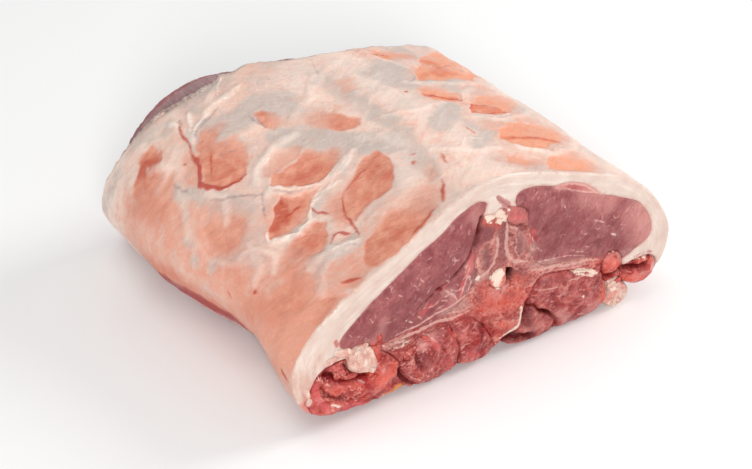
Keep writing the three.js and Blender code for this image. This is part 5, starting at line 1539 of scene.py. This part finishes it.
def meatMaterial(name, look):
    material, tree, shader = newMaterial("raw " + name, meatFinish)
    place = placeOf(tree)
    cut = fieldOf(tree, "cut")
    sides = minus(1.0, cut)
    high = fieldOf(tree, "high")
    onFace = useGroup(fibre, Vector=place, Angle=look["angle"], Width=1.6, Bundle=2.1)
    lengthwise = stretched(place, (1, 0.1, 1))
    strings = noiseNode(lengthwise, 1.3, 3.0, 0.6)
    streaks = mixed(cut, strings, onFace["Streaks"])
    tone = patchy(place, 10.0, 0.14)
    spots = patchy(place, 3.2, 0.16)
    colour = blend(tone, look["deep"], look["mid"])
    colour = blend(times(spots, 0.28), colour, look["pale"])
    colour = shade(colour, streaks, (0.5, 0.7, 0.55, look["pale"]), (0.48, 0.32, 0.5, look["deep"]))
    # painted highlight on the backs of the folds and painted shade between them
    colour = shade(colour, high, (0.1, 0.85, 0.55 * look["tone"], look["pale"]),
                   (-0.1, -1.1, 0.7 * look["tone"], look["deep"]))
    lines = times(onFace["Bundles"], times(cut, 0.4))
    colour = blend(lines, colour, look["bundle"])
    marbling = useGroup(thinLines, Vector=place, Size=4.5, Width=0.03, Amount=look["amount"])["Mask"]
    fatty = useGroup(flecks, Vector=place, Angle=look["angle"], Size=1.2, Amount=look["amount"])["Mask"]
    fatty = calc("MAXIMUM", marbling, fatty)
    # grain and marbling are coarser on the left, where the muscle was torn
    across = partOf(place, 0)
    plainer = span(across, 12.0, 30.0, 0.6, 0.4)
    colour = blend(times(fatty, plainer), colour, look["fleck"])
    grit = noiseNode(place, 1.0, 4.0, 0.72)
    coarse = span(across, 12.0, 30.0, 0.75 * look["tone"], 0.32 * look["tone"])
    lit = times(span(grit, 0.54, 0.68), coarse)
    sunk = times(span(grit, 0.46, 0.34), coarse)
    colour = blend(lit, colour, look["pale"])
    colour = blend(sunk, colour, look["deep"])
    # a rim round the muscle: a thin pale skin on the loins and strips, painted shade on the fillets and
    # flank;
    # and a thicker skin where the fat tapers out over its side
    grain = noiseNode(place, 1.4, 3.0, 0.6)
    edge = plus(fieldOf(tree, "rim"), swing(grain, 2.2))
    skin = times(span(edge, 0.75, 0.15, 0.0, look["rim"]), cut)
    colour = blend(skin, colour, look["edge"])
    colour = blend(times(sides, span(strings, 0.3, 0.55, 0.9, 0.6)), colour, look["side"])
    sheet = span(noiseNode(lengthwise, 7.0, 4.0, 0.6), 0.5, 0.66, 0.0, 0.5)
    colour = blend(times(sheet, sides), colour, filmColours["thin"])
    veil = torn(fieldOf(tree, "filmed"), place, 4.0, 0.9, 0.22)
    filmTone = blend(spots, filmColours["thin"], filmColours["thick"])
    colour = blend(times(veil, sides), colour, filmTone)
    colour = overMarks(colour, place, allMarks)
    wet = useGroup(film, Vector=place, Size=5.0, Dry=look["dry"], Wet=look["wet"], Shine=look["shine"])
    height = plus(times(streaks, 0.6), times(onFace["Grain"], 0.4))
    height = plus(height, times(plus(grain, grit), 0.7 * look["tone"]))
    height = minus(height, times(lines, 0.3))
    finishSurface(tree, shader, colour, wet, height, 0.6)
    return material


boneLook = {"mid": (184, 106, 100), "grey": (152, 90, 87), "red": (194, 84, 74), "pore": (138, 40, 40),
            "light": (230, 162, 146), "clot": (176, 44, 42), "hollow_shade": (66, 14, 14)}


def boneMaterial(look):
    material, tree, shader = newMaterial("sawn bone", {**meatFinish, "subsurface": 0.15})
    place = placeOf(tree)
    tone = patchy(place, 6.0, 0.14)
    blots = patchy(place, 3.4, 0.1)
    up = partOf(place, 2)
    colour = blend(tone, look["grey"], look["mid"])
    redder = times(span(up, 42.0, 26.0, 0.0, 0.9), plus(0.45, tone), True)
    colour = blend(redder, colour, look["red"])
    colour = blend(times(blots, 0.35), colour, look["light"])
    fine = noiseNode(place, 2.0, 4.0, 0.7)
    colour = shade(colour, fine, (0.53, 0.68, 0.6, look["light"]), (0.46, 0.34, 0.5, look["pore"]))
    cells = addNode(tree, "TexVoronoi", {"Vector": place, "Scale": 0.75}, feature="F1").outputs["Distance"]
    pores = times(span(cells, 0.34, 0.16), span(fine, 0.55, 0.45))
    colour = blend(times(pores, 0.3), colour, look["pore"])
    webs = useGroup(thinLines, Vector=place, Size=5.0, Width=0.035, Amount=0.16)["Mask"]
    colour = blend(times(webs, 0.6), colour, look["light"])
    grit = noiseNode(place, 1.1, 4.0, 0.72)
    clots = patchy(place, 2.7, 0.12)
    colour = blend(times(clots, span(up, 44.0, 22.0, 0.15, 0.5)), colour, look["clot"])
    coarse = span(up, 46.0, 36.0, 0.3, 1.0)
    lit = times(span(grit, 0.53, 0.64, 0.0, 0.7), coarse)
    sunk = times(span(grit, 0.47, 0.37, 0.0, 0.9), coarse)
    colour = blend(lit, colour, look["light"])
    colour = blend(sunk, colour, look["pore"])
    colour = overMarks(colour, place, [key for key in allMarks if key != "amber"])
    # the walls at the canal's height are painted dark: painted shade inside the canal
    sides = minus(1.0, fieldOf(tree, "cut"))
    level = times(span(up, 30.0, 33.0), span(up, 48.0, 45.0))
    colour = blend(times(sides, level), colour, look["hollow_shade"])
    wet = useGroup(film, Vector=place, Size=3.0, Dry=0.5, Wet=0.25, Shine=0.4)
    height = minus(plus(fine, grit), times(pores, 0.5))
    finishSurface(tree, shader, colour, wet, height, 0.7)
    return material


cutFatLook = {
    "mid": (215, 196, 184), "warm": (206, 182, 170), "pink": (206, 154, 142), "white": (231, 217, 206),
    "low": (200, 150, 134),
}
fellLook = {
    "base": (233, 202, 186), "grey": (200, 184, 175), "cream": (243, 219, 205), "pink": (236, 189, 171),
    "peach": (226, 158, 134), "salmon": (212, 130, 103), "pale": (232, 168, 142), "deep": (194, 88, 62),
    "orange": (238, 154, 116), "rich": (224, 120, 82), "vein": (180, 58, 42), "lit_ridge": (248, 231, 218),
    "shade": (160, 134, 134), "lean": (160, 58, 58), "warm": (212, 128, 102), "speck": (200, 98, 80),
}


def cutFatColour(tree, place, look):
    layersAt = addNode(tree, "CombineXYZ", {0: times(fieldOf(tree, "along"), 0.16),
                                            1: fieldOf(tree, "deep")}).outputs[0]
    streaks = noiseNode(layersAt, 2.6, 4.0, 0.6)
    tone = patchy(place, 9.0, 0.18)
    colour = blend(tone, look["warm"], look["mid"])
    colour = shade(colour, streaks, (0.5, 0.7, 0.5, look["white"]), (0.44, 0.3, 0.3, look["pink"]))
    # wisps stand upright in the thick corner at the lower left
    corner = span(fieldOf(tree, "along"), 46.0, 24.0)
    upright = stretched(place, (1.0, 0.5, 0.3))
    wisps = noiseNode(upright, 2.8, 4.0, 0.65)
    colour = shade(colour, wisps, (0.5, 0.64, 0.6, look["white"]),
                   (0.46, 0.34, 0.6, look["pink"]), mask=corner)
    low = times(span(partOf(place, 2), 46.0, 12.0), corner)
    colour = blend(times(low, span(wisps, 0.35, 0.62, 0.95, 0.45)), colour, look["low"])
    # a flush of pink against the meat
    grain = noiseNode(place, 1.6, 3.0, 0.6)
    edge = plus(fieldOf(tree, "rim"), swing(grain, 3.0))
    flush = times(span(edge, 1.3, 0.2, 0.0, 0.6), span(fieldOf(tree, "deep"), 2.5, 4.0))
    colour = blend(flush, colour, look["pink"])
    return colour, plus(streaks, times(corner, wisps))


def turnedPlace(at, angle, stretch):
    # a place on the fell turned by an angle and drawn out along its first axis
    return stretched(rotated(at, angle, "Z_AXIS"), (stretch, 1, 1))


def fellColour(tree, fell):
    names = ("salmon", "tone", "rims", "vein", "lit_ridge", "groove", "lit_fold", "ruddy", "silver", "cream",
             "peach", "warm",
             "lean")
    mark = {key: fieldOf(tree, "fell_" + key) for key in names}
    along = fieldOf(tree, "along")
    at = addNode(tree, "CombineXYZ", {0: along, 1: fieldOf(tree, "run")}).outputs[0]
    onRight = span(along, 106.0, 146.0)

    def slanted(left, right, size):
        # streaks that run one way over the left side and another over the right
        one = noiseNode(turnedPlace(at, *left), size, 4.0, 0.6)
        other = noiseNode(turnedPlace(at, *right), size, 4.0, 0.6)
        return mixed(onRight, one, other)

    wisps = slanted((0.6, 0.5), (-0.7, 0.13), 3.4)
    hatching = slanted((0.55, 0.16), (-0.75, 0.1), 1.3)
    blots = noiseNode(at, 5.0, 4.0, 0.6)

    broad = patchy(at, 24.0, 0.14)
    blush = patchy(at, 11.0, 0.2)
    colour = blend(broad, fell["grey"], fell["base"])
    colour = blend(times(blush, 0.6), colour, fell["pink"])
    cream = times(mark["cream"], span(wisps, 0.3, 0.6, 0.5, 0.9))
    colour = blend(cream, colour, fell["cream"])
    uneven = swing(blots, 1.4)
    peachy = plus(mark["peach"], times(uneven, minus(1.3, mark["peach"])))
    colour = blend(span(peachy, 0.1, 0.9), colour, fell["peach"])
    silver = torn(mark["silver"], at, 6.0, 1.1, 0.3)
    colour = blend(times(silver, 0.9), colour, fell["grey"])
    plain = minus(1.0, times(mark["peach"], 0.7))
    colour = shade(colour, wisps, (0.53, 0.7, 0.35, fell["cream"]),
                   (0.44, 0.32, 0.3, fell["peach"]), mask=plain)
    fine = noiseNode(at, 1.5, 3.0, 0.6)
    colour = shade(colour, fine, (0.56, 0.72, 0.3, fell["cream"]), mask=plain)
    colour = shade(colour, fine, (0.42, 0.3, 0.2, fell["peach"]))
    colour = blend(times(mark["warm"], span(blots, 0.3, 0.6, 0.7, 1.0)), colour, fell["warm"])

    # patches of flesh that show through, with torn edges and an uneven tone
    frayed = times(minus(wisps, 0.5), plus(0.5, onRight))
    shown = plus(plus(mark["salmon"], frayed), times(uneven, 0.3))
    shown = times(span(shown, 0.32, 0.62), times(mark["tone"], 1.3, True))
    flesh = blend(onRight, fell["salmon"], fell["orange"])
    flesh = shade(flesh, blots, (0.36, 0.7, 0.75, fell["pale"]))
    deeper = plus(mark["ruddy"], swing(wisps, 1.2))
    darker = blend(onRight, fell["deep"], fell["rich"])
    flesh = shade(flesh, deeper, (0.2, 1.0, 0.95, darker))
    flesh = shade(flesh, hatching, (0.56, 0.7, 0.4, fell["pale"]), (0.45, 0.33, 0.4, darker))
    colour = blend(times(shown, 0.95), colour, flesh)

    # folds and ridges with painted highlight along their backs, their shadows, and small vessels over
    # everything
    lit_fold = times(mark["lit_fold"], span(blots, 0.35, 0.6, 0.5, 1.0))
    colour = blend(times(lit_fold, 0.55), colour, fell["lit_ridge"])
    groove = torn(mark["groove"], at, 4.0, 0.9, 0.3)
    colour = blend(times(groove, 0.6), colour, fell["shade"])
    raised = calc("MAXIMUM", mark["lit_ridge"], times(mark["rims"], 0.8))
    lit_crest = torn(raised, at, 5.0, 1.0, 0.22)
    colour = blend(times(lit_crest, 0.7), colour, fell["lit_ridge"])
    colour = shade(colour, mark["vein"], (0.05, 0.6, 0.4, fell["deep"]))
    vein = torn(mark["vein"], at, 4.0, 0.7, 0.2)
    colour = blend(times(vein, 0.8), colour, fell["vein"])
    sparse = span(noiseNode(at, 18.0, 2.0, 0.5), 0.5, 0.6)
    specks = times(span(noiseNode(at, 2.4, 2.0, 0.5), 0.7, 0.78), sparse)
    colour = blend(times(specks, 0.8), colour, fell["speck"])
    under = plus(mark["lean"], swing(wisps, 0.8))
    colour = blend(times(span(under, 0.35, 0.6), mark["lean"]), colour, fell["lean"])

    height = plus(times(plus(blots, fine), 0.5), times(wisps, 0.6))
    height = plus(height, times(plus(hatching, lit_crest), 0.2))
    height = minus(height, times(groove, 0.2))
    return colour, height


def fatMaterial(fell, cutFat):
    material, tree, shader = newMaterial("fat and fell", fatFinish)
    place = placeOf(tree)
    inner, innerHeight = cutFatColour(tree, place, cutFat)
    inner = overMarks(inner, place, ("rose", "coral", "pale", "nerve", "shade_and_clots"), 0.8)
    outer, outerHeight = fellColour(tree, fell)
    small = minus(noiseNode(place, 4.0, 4.0, 0.65), 0.5)
    edge = plus(fieldOf(tree, "outside"), times(small, 9.0))
    edge = span(edge, 0.2, 0.9)
    colour = blend(edge, inner, outer)
    wet = useGroup(film, Vector=place, Size=9.0, Dry=0.58, Wet=0.34, Shine=0.25)
    height = mixed(edge, innerHeight, outerHeight)
    finishSurface(tree, shader, colour, wet, height, 0.6)
    return material


softFatLook = {
    "mid": (218, 184, 168), "warm": (206, 150, 136), "white": (240, 220, 206), "pink": (196, 116, 106),
}


def softFatMaterial(look):
    material, tree, shader = newMaterial("soft fat and sinew", fatFinish)
    place = placeOf(tree)
    tone = patchy(place, 4.5, 0.16)
    drawn = stretched(place, (1.0, 0.4, 0.5))
    strings = noiseNode(drawn, 1.5, 4.0, 0.65)
    colour = blend(tone, look["warm"], look["mid"])
    colour = shade(colour, strings, (0.52, 0.68, 0.8, look["white"]), (0.44, 0.3, 0.8, look["pink"]))
    colour = overMarks(colour, place, ("rose", "coral", "pale", "cream", "shade_and_clots"), 0.8)
    wet = useGroup(film, Vector=place, Size=4.0, Dry=0.5, Wet=0.28, Shine=0.35)
    finishSurface(tree, shader, colour, wet, strings, 0.7)
    return material


marrowLook = {"mid": (212, 128, 114), "warm": (190, 92, 80), "hollow_shade": (84, 22, 20)}


def cordMaterial(look):
    material, tree, shader = newMaterial("spinal cord", {**fatFinish, "subsurface": 0.3})
    place = placeOf(tree)
    tone = patchy(place, 3.0, 0.16)
    colour = blend(tone, look["warm"], look["mid"])
    colour = overMarks(colour, place, ("rose", "coral", "cream", "shade_and_clots"))
    # its sides are painted dark: painted shade in the gap round the cord
    sides = minus(1.0, fieldOf(tree, "cut"))
    colour = blend(sides, colour, look["hollow_shade"])
    fine = noiseNode(place, 1.6, 4.0, 0.65)
    wet = useGroup(film, Vector=place, Size=3.0, Dry=0.45, Wet=0.22, Shine=0.5)
    finishSurface(tree, shader, colour, wet, fine, 0.7)
    return material


materials = {slot: meatMaterial(slot, look) for slot, look in meats.items()}
materials["bone"] = boneMaterial(boneLook)
materials["fat"] = fatMaterial(fellLook, cutFatLook)
materials["soft_fat"] = softFatMaterial(softFatLook)
materials["cord"] = cordMaterial(marrowLook)
for name, piece in dressed.items():
    slot = pieces[name]["slot"] if name in pieces else "cord"
    piece.data.materials.append(materials[slot])
for name, piece in extras.items():
    piece.data.materials.append(materials[bits[name]["slot"]])
print("materials laid on")
